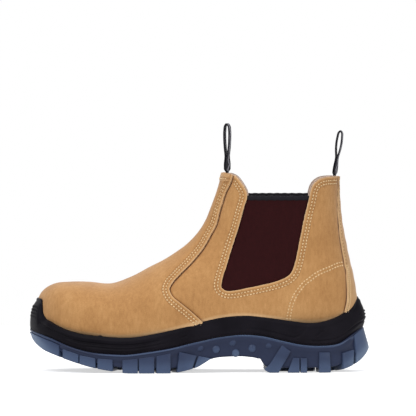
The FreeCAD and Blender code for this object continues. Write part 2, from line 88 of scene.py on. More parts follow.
camera = bpy.data.objects.new("camera", bpy.data.cameras.new("camera"))
bpy.context.scene.collection.objects.link(camera)
bpy.context.scene.camera = camera
camera.data.sensor_width = SENSOR
camera.data.lens = SENSOR * VIEW_DISTANCE / VIEW_WIDTH
away = Vector((0, -math.cos(VIEW_ELEVATION), math.sin(VIEW_ELEVATION)))
camera.location = VIEW_CENTRE + away * VIEW_DISTANCE
camera.rotation_euler = (-away).to_track_quat("-Z", "Y").to_euler()
print("lens, mm:", round(camera.data.lens, 1))


# %% Lamps, world and floor
def area_lamp(name, place, target, size, watts):
    """A square soft box that points at a target."""
    lamp = bpy.data.objects.new(name, bpy.data.lights.new(name, "AREA"))
    lamp.data.shape = "SQUARE"
    lamp.data.size = size
    lamp.data.energy = watts
    lamp.location = place
    lamp.rotation_euler = (Vector(target) - Vector(place)).to_track_quat("-Z", "Y").to_euler()
    bpy.context.scene.collection.objects.link(lamp)
    return lamp


MIDDLE = (0, 0, 0.09)
area_lamp("key", (-0.7, -1.3, 1.25), MIDDLE, 0.9, 18)
area_lamp("fill", (1.2, -1.3, 0.7), MIDDLE, 1.0, 8)
area_lamp("top", (0.05, 0.1, 1.6), MIDDLE, 1.0, 11)
area_lamp("back", (0.3, 1.5, 0.8), MIDDLE, 1.0, 7)


def seen_directly(tree):
    """1 for camera, glossy and transmission rays, 0 for the rays that light the boot."""
    path = tree.nodes.new("ShaderNodeLightPath")
    first = tree.nodes.new("ShaderNodeMath")
    first.operation = "MAXIMUM"
    second = tree.nodes.new("ShaderNodeMath")
    second.operation = "MAXIMUM"
    tree.links.new(path.outputs["Is Camera Ray"], first.inputs[0])
    tree.links.new(path.outputs["Is Glossy Ray"], first.inputs[1])
    tree.links.new(first.outputs[0], second.inputs[0])
    tree.links.new(path.outputs["Is Transmission Ray"], second.inputs[1])
    return second.outputs[0]


world = bpy.data.worlds.new("studio")
bpy.context.scene.world = world
world.use_nodes = True
tree = world.node_tree
tree.nodes.clear()
backdrop = tree.nodes.new("ShaderNodeBackground")
backdrop.inputs["Color"].default_value = (1, 1, 1, 1)
backdrop.inputs["Strength"].default_value = 1.0
room = tree.nodes.new("ShaderNodeBackground")
room.inputs["Color"].default_value = (1.0, 1.0, 1.0, 1)
room.inputs["Strength"].default_value = 0.32
choose = tree.nodes.new("ShaderNodeMixShader")
output = tree.nodes.new("ShaderNodeOutputWorld")
tree.links.new(seen_directly(tree), choose.inputs[0])
tree.links.new(room.outputs[0], choose.inputs[1])
tree.links.new(backdrop.outputs[0], choose.inputs[2])
tree.links.new(choose.outputs[0], output.inputs[0])

floor_mesh = bpy.data.meshes.new("floor")
bm = bmesh.new()
bmesh.ops.create_grid(bm, x_segments=1, y_segments=1, size=1)
bm.to_mesh(floor_mesh)
bm.free()
floor = bpy.data.objects.new("floor", floor_mesh)
bpy.context.scene.collection.objects.link(floor)
floor_finish = bpy.data.materials.new("white_floor")
floor_finish.use_nodes = True
tree = floor_finish.node_tree
tree.nodes.clear()
paper = tree.nodes.new("ShaderNodeBsdfDiffuse")
paper.inputs["Color"].default_value = (0.8, 0.8, 0.8, 1)
lift = tree.nodes.new("ShaderNodeEmission")
lift.inputs["Color"].default_value = (1, 1, 1, 1)
lift.inputs["Strength"].default_value = 0.6
dark = tree.nodes.new("ShaderNodeEmission")
dark.inputs["Strength"].default_value = 0.0
choose = tree.nodes.new("ShaderNodeMixShader")
both = tree.nodes.new("ShaderNodeAddShader")
output = tree.nodes.new("ShaderNodeOutputMaterial")
tree.links.new(seen_directly(tree), choose.inputs[0])
tree.links.new(dark.outputs[0], choose.inputs[1])
tree.links.new(lift.outputs[0], choose.inputs[2])
tree.links.new(paper.outputs[0], both.inputs[0])
tree.links.new(choose.outputs[0], both.inputs[1])
tree.links.new(both.outputs[0], output.inputs[0])
floor_mesh.materials.append(floor_finish)
bpy.context.scene.view_settings.view_transform = "Standard"
print("studio ready")

# %% [markdown]
# ## Helpers for curves and meshes
# A shoemaker draws each pattern line once, seen from the side, and the line is then laid on the last.
# The helpers below do the same: they draw a smooth line through a few points, and find the place on
# the foot form that lies behind it.

# %% Smooth lines
def spaced(points, pitch, closed=False):
    """A smooth line through points (any dimension), resampled at an even pitch."""
    points = [Vector(point) for point in points]
    if closed:
        points = points[-2:] + points + points[:3]
    fine = []
    for index in range(len(points) - 1):
        p1, p2 = points[index], points[index + 1]
        p0 = points[index - 1] if index else p1 * 2 - p2
        p3 = points[index + 2] if index + 2 < len(points) else p2 * 2 - p1
        h0, h1, h2 = (max(1e-9, (b - a).length) for a, b in ((p0, p1), (p1, p2), (p2, p3)))
        m1 = ((p1 - p0) / h0 * h1 + (p2 - p1) / h1 * h0) / (h0 + h1) * h1
        m2 = ((p2 - p1) / h1 * h2 + (p3 - p2) / h2 * h1) / (h1 + h2) * h1
        for step in range(16):
            t = step / 16
            fine.append(p1 * (2 * t**3 - 3 * t**2 + 1) + m1 * (t**3 - 2 * t**2 + t)
                        + p2 * (3 * t**2 - 2 * t**3) + m2 * (t**3 - t**2))
    fine.append(points[-1])
    if closed:
        fine = fine[2 * 16:-2 * 16]
    return even(fine, pitch)


def even(fine, pitch):
    """The same line with its points evenly spaced, at about the pitch."""
    lengths = [0.0]
    for first, second in zip(fine, fine[1:]):
        lengths.append(lengths[-1] + (second - first).length)
    count = max(2, round(lengths[-1] / pitch))
    result, at = [], 0
    for step in range(count + 1):
        goal = lengths[-1] * step / count
        while at < len(fine) - 2 and lengths[at + 1] < goal:
            at += 1
        share = (goal - lengths[at]) / max(1e-12, lengths[at + 1] - lengths[at])
        result.append(fine[at].lerp(fine[at + 1], min(1.0, share)))
    return result


def ease(value, low, high):
    """0 below low, 1 above high, smooth between."""
    share = min(1.0, max(0.0, (value - low) / (high - low)))
    return share * share * (3 - 2 * share)


# %% Meshes from rows of points
def loft(bm, rows, closed=True):
    """A grid of faces through rows of points; closed joins each row's end to its start."""
    columns = len(rows[0]) if closed else len(rows[0]) - 1
    made = bmesh.ops.create_grid(bm, x_segments=columns, y_segments=len(rows) - 1, size=1)["verts"]
    for vert in made:
        column = round((vert.co.x + 1) / 2 * columns)
        row = round((vert.co.y + 1) / 2 * (len(rows) - 1))
        vert.co = rows[row][column % len(rows[0])]
    if closed:
        bmesh.ops.remove_doubles(bm, verts=made, dist=1e-7)
    return [vert for vert in made if vert.is_valid]


def finish_piece(name, bm, finish, body="boot", stands_for=(), outward=True):
    """The bmesh becomes a smooth-shaded piece that rides on a body."""
    if outward:
        bmesh.ops.recalc_face_normals(bm, faces=bm.faces)
    mesh = bpy.data.meshes.new(name)
    bm.to_mesh(mesh)
    bm.free()
    mesh.polygons.foreach_set("use_smooth", [True] * len(mesh.polygons))
    mesh.materials.append(finish)
    piece = bpy.data.objects.new(name, mesh)
    bpy.context.scene.collection.objects.link(piece)
    if body:
        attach(piece, body)
    if stands_for:
        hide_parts(*stands_for)
    print(name, len(mesh.polygons), "faces")
    return piece


# %% [markdown]
# ## The foot form
# Every panel of the upper was lasted over one form, so we make that form first: closed rings that
# stand upright over the toes, fan round the ankle and lie flat at the collar. Each ring is an oval
# with its own width, the height of its widest line and its squareness. The rings match the frame.

# %% Rings of the form
# front or top point, back or bottom point, middle y, half width, share of the height at the widest
# line, squareness above and below it (2 is an ellipse)
SECTIONS = [
    ((-147.4, 67), (-147.4, 50), 9, 9, .50, 2.2, 2.2),
    ((-145.2, 71.4), (-145.2, 44.5), 9, 18, .45, 2.2, 3.0),
    ((-140, 76.2), (-140, 40), 8.5, 27.5, .42, 2.3, 3.5),
    ((-131, 80.2), (-131, 35.5), 7, 36.5, .40, 2.4, 4.0),
    ((-118, 81.4), (-118, 31.5), 5, 43.5, .38, 2.5, 4.0),
    ((-100, 81.2), (-100, 28), 3.5, 48, .36, 2.5, 4.0),
    ((-80, 80.2), (-80, 25.5), 1.5, 50.5, .34, 2.4, 4.0),
    ((-62, 86.5), (-60, 24.5), 0, 50.5, .34, 2.2, 4.0),
    ((-46.5, 94.6), (-38, 26), -2, 49, .34, 2.0, 4.0),
    ((-33, 101.6), (-8, 31), -4, 45.5, .32, 2.0, 4.0),
    ((-22, 108.6), (26, 36.5), -4.5, 41, .32, 2.0, 3.8),
    ((-11, 117), (62, 37.8), -3.5, 37.5, .34, 2.0, 3.5),
    ((-1, 127.6), (97, 36.4), -3, 35.5, .38, 2.05, 3.0),
    ((6, 139), (128, 38), -2.5, 35, .45, 2.1, 2.6),
    ((11, 151), (142.6, 57), -1.5, 35, .50, 2.2, 2.4),
    ((14.6, 160.5), (141, 82), -1, 35.5, .50, 2.25, 2.3),
    ((17, 167.6), (134.6, 110), -.5, 36, .50, 2.3, 2.3),
    ((19, 174.4), (129.2, 140), 0, 36.5, .50, 2.35, 2.35),
    ((21, 181.4), (127.6, 165), 0, 37, .50, 2.4, 2.4),
    ((24, 192), (128.6, 192), 0, 37.5, .50, 2.4, 2.4),
]
COLUMNS = 160
RING_PITCH = 2.3 * MM


def ring(top, bottom, middle_y, half_width, widest, above, below):
    """One closed ring of the form, evenly spaced from its front or top point."""
    top = Vector((top[0], middle_y, top[1])) * MM
    bottom = Vector((bottom[0], middle_y, bottom[1])) * MM
    middle = bottom.lerp(top, widest)
    fine = []
    for step in range(721):
        angle = math.tau * step / 720
        up = math.cos(angle) > 0
        power = 2 / (above if up else below)
        along = abs(math.cos(angle)) ** power
        across = math.copysign(abs(math.sin(angle)) ** power, math.sin(angle))
        fine.append(middle.lerp(top if up else bottom, along)
                    - Vector((0, half_width * MM * across, 0)))
    return even(fine, (sum((b - a).length for a, b in zip(fine, fine[1:]))) / COLUMNS)[:COLUMNS]


key_rings = [ring(*row) for row in SECTIONS]
strands = []
for column in range(COLUMNS):
    strands.append([one[column] for one in key_rings])
gaps = [sum((b - a).length for a, b in zip(first, second)) / COLUMNS
        for first, second in zip(key_rings, key_rings[1:])]
rings = []
for index, gap in enumerate(gaps):
    steps = max(1, round(gap / RING_PITCH))
    before, after = max(0, index - 1), min(len(key_rings) - 1, index + 2)
    h0, h1, h2 = gaps[max(0, index - 1)], gap, gaps[min(len(gaps) - 1, index + 1)]
    for step in range(steps):
        t = step / steps
        row = []
        for strand in strands:
            p0, p1, p2, p3 = strand[before], strand[index], strand[index + 1], strand[after]
            m1 = ((p1 - p0) / h0 * h1 + (p2 - p1) / h1 * h0) / (h0 + h1) * h1
            m2 = ((p2 - p1) / h1 * h2 + (p3 - p2) / h2 * h1) / (h1 + h2) * h1
            row.append(p1 * (2 * t**3 - 3 * t**2 + 1) + m1 * (t**3 - 2 * t**2 + t)
                       + p2 * (3 * t**2 - 2 * t**3) + m2 * (t**3 - t**2))
        rings.append(row)
rings.append(key_rings[-1])
form = bmesh.new()
loft(form, rings)
toe_edge = [edge for edge in form.edges if edge.is_boundary and edge.verts[0].co.x < -147 * MM]
cap = bmesh.ops.contextual_create(form, geom=toe_edge)["faces"]
for inset, bulge in ((2.2, .5), (2.4, .3), (2.0, .1)):
    bmesh.ops.inset_region(form, faces=cap, thickness=inset * MM, depth=0)
    bmesh.ops.translate(form, verts=cap[0].verts[:], vec=(-bulge * MM, 0, 0))
bmesh.ops.poke(form, faces=cap)
bmesh.ops.recalc_face_normals(form, faces=form.faces)
FORM = BVHTree.FromBMesh(form)
print("form:", len(rings), "rings,", len(form.faces), "faces")

# %% Pattern lines, seen from the side (x, z in millimetres)
COLLAR = 160
OPENING = [(-40, 181.3), (8, 181.3), (20.9, 181.2), (27.9, 180.6), (33, 178), (39, 171), (43, 163.5),
           (43.2, 159), (41, 152), (35.6, 132), (30, 114.7), (24.6, 96.5), (20.5, 82), (20.3, 78),
           (23.7, 75), (32.8, 75), (43.2, 77), (59.7, 80.4), (72, 83.7), (78.4, 86.5), (83, 90),
           (86.3, 96.8), (88, 103.4), (91.8, 122), (96.2, 143), (100.2, 158.9), (101.2, 164),
           (103.2, 169.8), (107, 174.2), (112, 176.8), (119, 177.8), (128, 178), (170, 178)]
VAMP_SEAM = [(34, 196), (31.5, 184), (28.5, 172), (24.6, 164), (21.3, 154), (18.6, 145), (15.8, 134.7),
             (11, 125.4), (2.7, 111.4), (-7.5, 99.3), (-17.7, 89), (-25.2, 80.3), (-27, 76.4),
             (-25.2, 71), (-16.9, 63.5), (-9.3, 57.5), (2.7, 46.8), (20, 32)]
BACKSTAY_SEAM = [(127.6, 196), (127, 173), (126.4, 146.6), (127.5, 129), (130.2, 110), (131.9, 100),
                 (133.6, 92.4), (134.5, 81), (134.4, 64.8), (132.6, 55.2), (128, 40)]
COUNTER_STITCH = [(133.2, 98.9), (124.7, 97.4), (119.2, 94.8), (111.8, 92), (106.3, 89.2),
                  (100.9, 85), (95.9, 81.4), (91.7, 76.5), (87.4, 70.4), (85, 65.5), (82.2, 55),
                  (80.6, 44)]


class SideLine:
    """A pattern line drawn from the side. Its value is the signed distance to it, in metres."""

    def __init__(self, points):
        self.points = [Vector((x, 0, z)) * MM for x, z in points]
        self.points = spaced(self.points, 0.5 * MM)
        self.tree = KDTree(len(self.points))
        for index, point in enumerate(self.points):
            self.tree.insert(point, index)
        self.tree.balance()

    def value(self, place):
        """Positive on the left of the line, as one walks along it."""
        flat = Vector((place.x, 0, place.z))
        near, index, distance = self.tree.find(flat)
        back = self.points[max(0, index - 1)]
        ahead = self.points[min(len(self.points) - 1, index + 1)]
        along, out = ahead - back, flat - near
        sign = along.x * out.z - along.z * out.x
        return math.copysign(distance, sign)


opening = SideLine(OPENING)
vamp_seam = SideLine(VAMP_SEAM)
backstay_seam = SideLine(BACKSTAY_SEAM)
print("pattern lines:", len(opening.points), len(vamp_seam.points), len(backstay_seam.points))


# %% Laying a pattern line on the form
def lay_on_form(side_line, y_sign, pitch=1.0 * MM, keep=lambda place: True):
    """Places on the form behind a side-view line, on the side with the sign of y."""
    laid = []
    for point in side_line.points:
        start = Vector((point.x, y_sign * 0.12, point.z))
        place, normal, index, distance = FORM.ray_cast(start, Vector((0, -y_sign, 0)))
        if place is not None and place.y * y_sign > -4 * MM and keep(place):
            laid.append(place)
    return even(laid, pitch)


def tree_of(*lines):
    """A search tree over the places of several lines."""
    tree = KDTree(sum(len(line) for line in lines))
    index = 0
    for line in lines:
        for place in line:
            tree.insert(place, index)
            index += 1
    tree.balance()
    return tree


SIDES = {"lateral": -1, "medial": 1}
laid_opening = {side: lay_on_form(opening, sign, keep=lambda p: p.z < 181.6 * MM)
                for side, sign in SIDES.items()}
laid_vamp = {side: lay_on_form(vamp_seam, sign, keep=lambda p: 38 * MM < p.z < 180 * MM)
             for side, sign in SIDES.items()}
laid_backstay = {side: lay_on_form(backstay_seam, sign, keep=lambda p: 40 * MM < p.z < 177 * MM)
                 for side, sign in SIDES.items()}
for side in SIDES:
    print(side, "seams:", len(laid_opening[side]), len(laid_vamp[side]), len(laid_backstay[side]))
near_opening = tree_of(*laid_opening.values())
near_vamp = tree_of(*laid_vamp.values())
near_backstay = tree_of(*laid_backstay.values())


# %% [markdown]
# ## Cutting panels out of the form
# A panel is the part of the form on one side of its pattern lines. We split each edge of the mesh
# where it crosses the line, join the new points across their faces, and throw the rest away. That
# leaves a clean cut line without a boolean.

# %% Cutting
def cut(bm, value, snap=0.2):
    """Keeps the part of the mesh where value is positive, with its edge on the zero line."""
    worth = {vert: value(vert.co) for vert in bm.verts}
    for edge in bm.edges:
        first, second = edge.verts
        a, b = worth[first], worth[second]
        if a * b < 0:
            share = a / (a - b)
            if share < snap:
                first.co = first.co.lerp(second.co, share)
                worth[first] = 0.0
            elif share > 1 - snap:
                second.co = second.co.lerp(first.co, 1 - share)
                worth[second] = 0.0
    on_line = {vert for vert in bm.verts if worth[vert] == 0.0}
    for edge in list(bm.edges):
        first, second = edge.verts
        a, b = worth[first], worth[second]
        if a * b < 0:
            made = bmesh.utils.edge_split(edge, first, a / (a - b))[1]
            worth[made] = 0.0
            on_line.add(made)
    for face in list(bm.faces):
        corners = [vert for vert in face.verts if vert in on_line]
        if len(corners) == 2 and not bm.edges.get(corners):
            bmesh.ops.connect_verts(bm, verts=corners)
    gone = []
    for face in bm.faces:
        total = sum(worth[vert] for vert in face.verts)
        if total < 0:
            gone.append(face)
    bmesh.ops.delete(bm, geom=gone, context="FACES")


def copy_of_form():
    return form.copy()


def bottom_line(x):
    """Height of the form's bottom at x."""
    pairs = [(row[1][0] * MM, row[1][1] * MM) for row in SECTIONS[:14]]
    for (x0, z0), (x1, z1) in zip(pairs, pairs[1:]):
        if x0 <= x <= x1:
            return z0 + (z1 - z0) * (x - x0) / (x1 - x0)
    return pairs[0][1] if x < pairs[0][0] else pairs[-1][1]


def on_leather(place):
    return -opening.value(place)


def above_sole(place):
    return place.z - bottom_line(place.x) - 4 * MM


LEATHER = 2.0 * MM
LAP = 7 * MM

# %% [markdown]
# ## Finishes
# Each finish is a Principled surface with its detail worked out by nodes. Two effects are shared by
# several finishes, so they are node groups: a fibre grain, made of noise at two sizes, and a weave,
# made of two crossing waves. A group puts out only masks and heights, and each material mixes its own
# colours with them.

# %% Node groups
def new_group(name, inputs, outputs):
    """An empty shader node group with named sockets."""
    group = bpy.data.node_groups.new(name, "ShaderNodeTree")
    for label, kind, value in inputs:
        socket = group.interface.new_socket(label, in_out="INPUT", socket_type=kind)
        if value is not None:
            socket.default_value = value
    for label, kind in outputs:
        group.interface.new_socket(label, in_out="OUTPUT", socket_type=kind)
    return group, group.nodes.new("NodeGroupInput"), group.nodes.new("NodeGroupOutput")


def maths(tree, operation, first, second=0.0, third=None):
    """A Math node; its inputs are sockets or numbers."""
    node = tree.nodes.new("ShaderNodeMath")
    node.operation = operation
    for index, value in enumerate((first, second, third)):
        if value is None:
            continue
        if hasattr(value, "is_output"):
            tree.links.new(value, node.inputs[index])
        else:
            node.inputs[index].default_value = value
    return node.outputs[0]


def noise(tree, place, scale, detail=2.0, rough=0.5, stretch=None):
    """Noise on a place socket; stretch squeezes it along each axis."""
    if stretch:
        mapping = tree.nodes.new("ShaderNodeMapping")
        mapping.inputs["Scale"].default_value = stretch
        tree.links.new(place, mapping.inputs["Vector"])
        place = mapping.outputs[0]
    node = tree.nodes.new("ShaderNodeTexNoise")
    node.inputs["Detail"].default_value = detail
    node.inputs["Roughness"].default_value = rough
    if hasattr(scale, "is_output"):
        tree.links.new(scale, node.inputs["Scale"])
    else:
        node.inputs["Scale"].default_value = scale
    tree.links.new(place, node.inputs["Vector"])
    return node.outputs["Fac"]


def make_fibre_group():
    """Short fibres and broad patches, as on brushed leather or felt. Scale 1 has 0.5 mm fibres."""
    group, given, result = new_group(
        "fibre_grain", [("Vector", "NodeSocketVector", None), ("Fibre Size", "NodeSocketFloat", 0.5)],
        [("Fibre", "NodeSocketFloat"), ("Patch", "NodeSocketFloat"), ("Height", "NodeSocketFloat")])
    fine_scale = maths(group, "DIVIDE", 1000.0, given.outputs["Fibre Size"])
    fine = noise(group, given.outputs["Vector"], fine_scale, 3.0, 0.65)
    stroke = noise(group, given.outputs["Vector"], 420.0, 2.0, 0.6, (1.0, 1.0, 0.35))
    patch = noise(group, given.outputs["Vector"], 38.0, 4.0, 0.6)
    broad = noise(group, given.outputs["Vector"], 11.0, 2.0, 0.5)
    fibre = maths(group, "MULTIPLY_ADD", fine, 0.6, maths(group, "MULTIPLY", stroke, 0.4))
    both = maths(group, "MULTIPLY_ADD", patch, 0.55, maths(group, "MULTIPLY", broad, 0.45))
    group.links.new(fibre, result.inputs["Fibre"])
    group.links.new(both, result.inputs["Patch"])
    group.links.new(maths(group, "MULTIPLY_ADD", fine, 0.7, maths(group, "MULTIPLY", stroke, 0.3)),
                    result.inputs["Height"])
    return group


def make_weave_group():
    """Two crossing sets of threads on a flat place socket, with pitches in millimetres."""
    group, given, result = new_group(
        "weave", [("Vector", "NodeSocketVector", None), ("Across", "NodeSocketFloat", 1.0),
                  ("Along", "NodeSocketFloat", 1.0)],
        [("Thread", "NodeSocketFloat"), ("Height", "NodeSocketFloat")])
    split = group.nodes.new("ShaderNodeSeparateXYZ")
    group.links.new(given.outputs["Vector"], split.inputs[0])
    waves = []
    for axis, pitch in (("X", "Across"), ("Z", "Along")):
        turns = maths(group, "DIVIDE", split.outputs[axis],
                      maths(group, "MULTIPLY", given.outputs[pitch], 0.001 / math.tau))
        waves.append(maths(group, "MULTIPLY_ADD", maths(group, "SINE", turns), 0.5, 0.5))
    woven = maths(group, "MULTIPLY", waves[0], maths(group, "MULTIPLY_ADD", waves[1], 0.5, 0.5))
    group.links.new(woven, result.inputs["Thread"])
    group.links.new(woven, result.inputs["Height"])
    return group


FIBRE = make_fibre_group()
WEAVE = make_weave_group()


# %% Material helpers
def srgb(red, green, blue):
    """A colour as a painter reads it (0 to 255), made linear."""
    linear = []
    for value in (red, green, blue):
        value /= 255
        linear.append(value / 12.92 if value <= 0.04045 else ((value + 0.055) / 1.055) ** 2.4)
    return (*linear, 1)


def new_finish(name, roughness, **constants):
    """A material with a Principled surface; constants go on the shader's own sockets."""
    material = bpy.data.materials.new(name)
    material.use_nodes = True
    tree = material.node_tree
    shader = tree.nodes["Principled BSDF"]
    shader.inputs["Roughness"].default_value = roughness
    for label, value in constants.items():
        shader.inputs[label.replace("_", " ")].default_value = value
    place = tree.nodes.new("ShaderNodeTexCoord").outputs["Object"]
    return material, tree, shader, place


def ramp(tree, value, *stops):
    """A colour ramp: stops are (position, colour)."""
    node = tree.nodes.new("ShaderNodeValToRGB")
    elements = node.color_ramp.elements
    while len(elements) < len(stops):
        elements.new(0.5)
    for element, (position, colour) in zip(elements, stops):
        element.position = position
        element.color = colour
    tree.links.new(value, node.inputs[0])
    return node.outputs[0]


def mix(tree, share, first, second, how="MIX"):
    """Mixes two colours; any input may be a socket or a value."""
    node = tree.nodes.new("ShaderNodeMix")
    node.data_type = "RGBA"
    node.blend_type = how
    for label, value in ((0, share), (6, first), (7, second)):
        if hasattr(value, "is_output"):
            tree.links.new(value, node.inputs[label])
        else:
            node.inputs[label].default_value = value
    return node.outputs[2]


def bump(tree, shader, height, depth, strength=1.0):
    """Bump from a height socket; depth in metres."""
    node = tree.nodes.new("ShaderNodeBump")
    node.inputs["Strength"].default_value = strength
    node.inputs["Distance"].default_value = depth
    tree.links.new(height, node.inputs["Height"])
    tree.links.new(node.outputs[0], shader.inputs["Normal"])


def group_node(tree, group, place, **values):
    node = tree.nodes.new("ShaderNodeGroup")
    node.node_tree = group
    tree.links.new(place, node.inputs["Vector"])
    for label, value in values.items():
        node.inputs[label.replace("_", " ")].default_value = value
    return node


def seam_mask(tree, name="channel_and_shade"):
    node = tree.nodes.new("ShaderNodeAttribute")
    node.attribute_name = name
    return node.outputs["Fac"]


# %% Suede
def make_suede(name, dark, middle, light, fibre_size=0.5):
    """Brushed leather: fibres lighten and darken it; sewn channels are painted darker, for pressed leather
    and for the shade in them, and the slit beside a lap is a painted shadow.
    """
    material, tree, shader, place = new_finish(name, 0.88, Sheen_Weight=0.22, Sheen_Roughness=0.45)
    shader.inputs["Specular IOR Level"].default_value = 0.25
    grain = group_node(tree, FIBRE, place, Fibre_Size=fibre_size)
    tone = maths(tree, "MULTIPLY_ADD", grain.outputs["Fibre"], 0.55,
                 maths(tree, "MULTIPLY", grain.outputs["Patch"], 0.45))
    colour = ramp(tree, tone, (0.3, dark), (0.5, middle), (0.7, light))
    # Painted shade: the stitched channels are darkened, partly for the pressed leather and partly for the
    # shade that falls in them.
    colour = mix(tree, maths(tree, "MULTIPLY", seam_mask(tree), 0.6), colour, srgb(132, 88, 48))
    # Painted shadow: where the mask is above 1, the slit beside a lap is darkened as the shadow of its gap.
    colour = mix(tree, maths(tree, "SUBTRACT", seam_mask(tree), 1.0), colour, srgb(84, 50, 28))
    # The pale mask lightens the raw cut edges, and along the midsole it is a painted highlight where the
    # leather bends over the lip.
    colour = mix(tree, maths(tree, "MULTIPLY", seam_mask(tree, "pale"), 0.6), colour, srgb(226, 192, 148))
    tree.links.new(colour, shader.inputs["Base Color"])
    rough = maths(tree, "MULTIPLY_ADD", grain.outputs["Fibre"], 0.2, 0.76)
    tree.links.new(rough, shader.inputs["Roughness"])
    bump(tree, shader, grain.outputs["Height"], 0.35 * MM, 0.55)
    return material


SUEDE = make_suede("wheat_suede", srgb(148, 102, 57), srgb(181, 134, 83), srgb(207, 162, 110))
BACKSTAY_SUEDE = make_suede("backstay_suede", srgb(168, 124, 80), srgb(196, 153, 105),
                            srgb(216, 177, 131), 0.4)


# %% [markdown]
# ## The leather upper
# The vamp laps over the quarters, so its edge stands proud and the quarter dips beneath it. Rows of
# stitches pull the leather into shallow channels. We refine the mesh beside each seam, press the
# channels in, lift the lap, and only then give the panel its thickness.

# %% Panel builder
ROW_OFFSETS = (3.4 * MM, 6.3 * MM)
CHANNEL_DEPTH = 0.32 * MM
CHANNEL_WIDTH = 0.95 * MM


def channel_at(distance, offsets=ROW_OFFSETS):
    """1 at the middle of a stitched channel, 0 away from it."""
    return max(math.exp(-((distance - offset) / CHANNEL_WIDTH) ** 2) for offset in offsets)


def ripple(place):
    """The slow unevenness of lasted leather."""
    x, y, z = place / MM
    return (math.sin(x * .071 + z * .043) + math.sin(y * .093 - z * .061 + x * .027)
            + .6 * math.sin(x * .19 + y * .13 + 1.3) * math.sin(z * .17 + .4)) * 0.13 * MM


def refine(bm, value, reach, cuts=2):
    """Finer faces where value is under reach."""
    near = {vert for vert in bm.verts if value(vert.co) < reach}
    edges = [edge for edge in bm.edges if edge.verts[0] in near and edge.verts[1] in near]
    bmesh.ops.subdivide_edges(bm, edges=edges, cuts=cuts, use_grid_fill=True)


def shape_panel(bm, lift, channel_and_shade, edge=None):
    """Moves each point out by its lift and in by its channel, and stores both masks for the finish; the
    channel mask also sets painted shade in the channels and the slits.
    """
    bm.normal_update()
    layer, pale = (bm.verts.layers.float.new(label) for label in ("channel_and_shade", "pale"))
    moves = []
    for vert in bm.verts:
        press_and_shade = channel_and_shade(vert.co)
        vert[layer] = press_and_shade
        vert[pale] = math.exp(-(edge(vert.co) / (0.8 * MM)) ** 2) if edge else 0.0
        moves.append(vert.normal * (lift(vert.co) - CHANNEL_DEPTH * press_and_shade))
    for vert, move in zip(bm.verts, moves):
        vert.co += move


def thicken(piece, thickness, round_by=0.45):
    """Gives a sheet its wall, inward, and rounds its cut edges."""
    wall = piece.modifiers.new("wall", "SOLIDIFY")
    wall.thickness = thickness
    wall.offset = -1
    wall.use_even_offset = False
    soft = piece.modifiers.new("soft_edges", "BEVEL")
    soft.width = round_by * MM
    soft.segments = 2
    soft.limit_method = "ANGLE"
    soft.angle_limit = math.radians(50)
    soft.use_clamp_overlap = True


def nearest(tree, place):
    return tree.find(place)[2]


# %% Vamp
vamp_bm = copy_of_form()
cut(vamp_bm, on_leather)
cut(vamp_bm, lambda place: vamp_seam.value(place) * -1)
cut(vamp_bm, above_sole)
print("vamp", len(vamp_bm.faces))


def vamp_edge(place):
    return min(nearest(near_vamp, place), 40 * MM)


refine(vamp_bm, vamp_edge, 9.5 * MM)


def vamp_lift(place):
    distance = vamp_edge(place)
    proud = 1.35 * MM * (1 - ease(distance, 7 * MM, 20 * MM))
    rolled = 0.45 * MM * (1 - ease(distance, 0, 1.8 * MM))
    return proud - rolled + ripple(place)


shape_panel(vamp_bm, vamp_lift, lambda place: channel_at(vamp_edge(place)), vamp_edge)
vamp = finish_piece("vamp_leather", vamp_bm, SUEDE, "boot", ("vamp",))
thicken(vamp, LEATHER)

# %% Quarters
def quarter_edge(place):
    return min(nearest(near_opening, place), 40 * MM)


def quarter_lift(place):
    under_vamp = 1 - ease(vamp_seam.value(place), -1 * MM, 4 * MM)
    rolled = 0.4 * MM * (1 - ease(quarter_edge(place), 0, 1.8 * MM))
    return ripple(place) - rolled - 0.75 * MM * under_vamp


def quarter_channel_and_slit_shadow(place):
    """The sewn channels, and a slit beside the vamp and the backstay, where the value goes up to 2: it
    presses the gap in and marks a painted shadow there.
    """
    seam = min(nearest(near_vamp, place), nearest(near_backstay, place))
    slit_and_shadow = 2 * math.exp(-(seam / (1.2 * MM)) ** 2)
    return max(channel_at(quarter_edge(place)), slit_and_shadow)


quarters = {}
for side, sign in SIDES.items():
    bm = copy_of_form()
    cut(bm, on_leather)
    cut(bm, lambda place: vamp_seam.value(place) + LAP)
    cut(bm, above_sole)
    cut(bm, lambda place: place.y * sign)
    refine(bm, lambda place: min(quarter_edge(place), 2.5 * nearest(near_vamp, place),
                             2.5 * nearest(near_backstay, place)), 9.5 * MM)
    shape_panel(bm, quarter_lift, quarter_channel_and_slit_shadow, quarter_edge)
    quarter = finish_piece(side + "_quarter_leather", bm, SUEDE, "boot", (side + "_quarter",))
    thicken(quarter, LEATHER)
    quarters[side] = quarter

# %% [markdown]
# ## The lines of the sole
# The sole is drawn twice: once in plan, as the outline that touches the ground, and once from the
# side, as lines for its rim, for the border between its black and its blue part, and for the tread.
# Every point of the sole is then a step along the outline, a depth in from it, and a height.

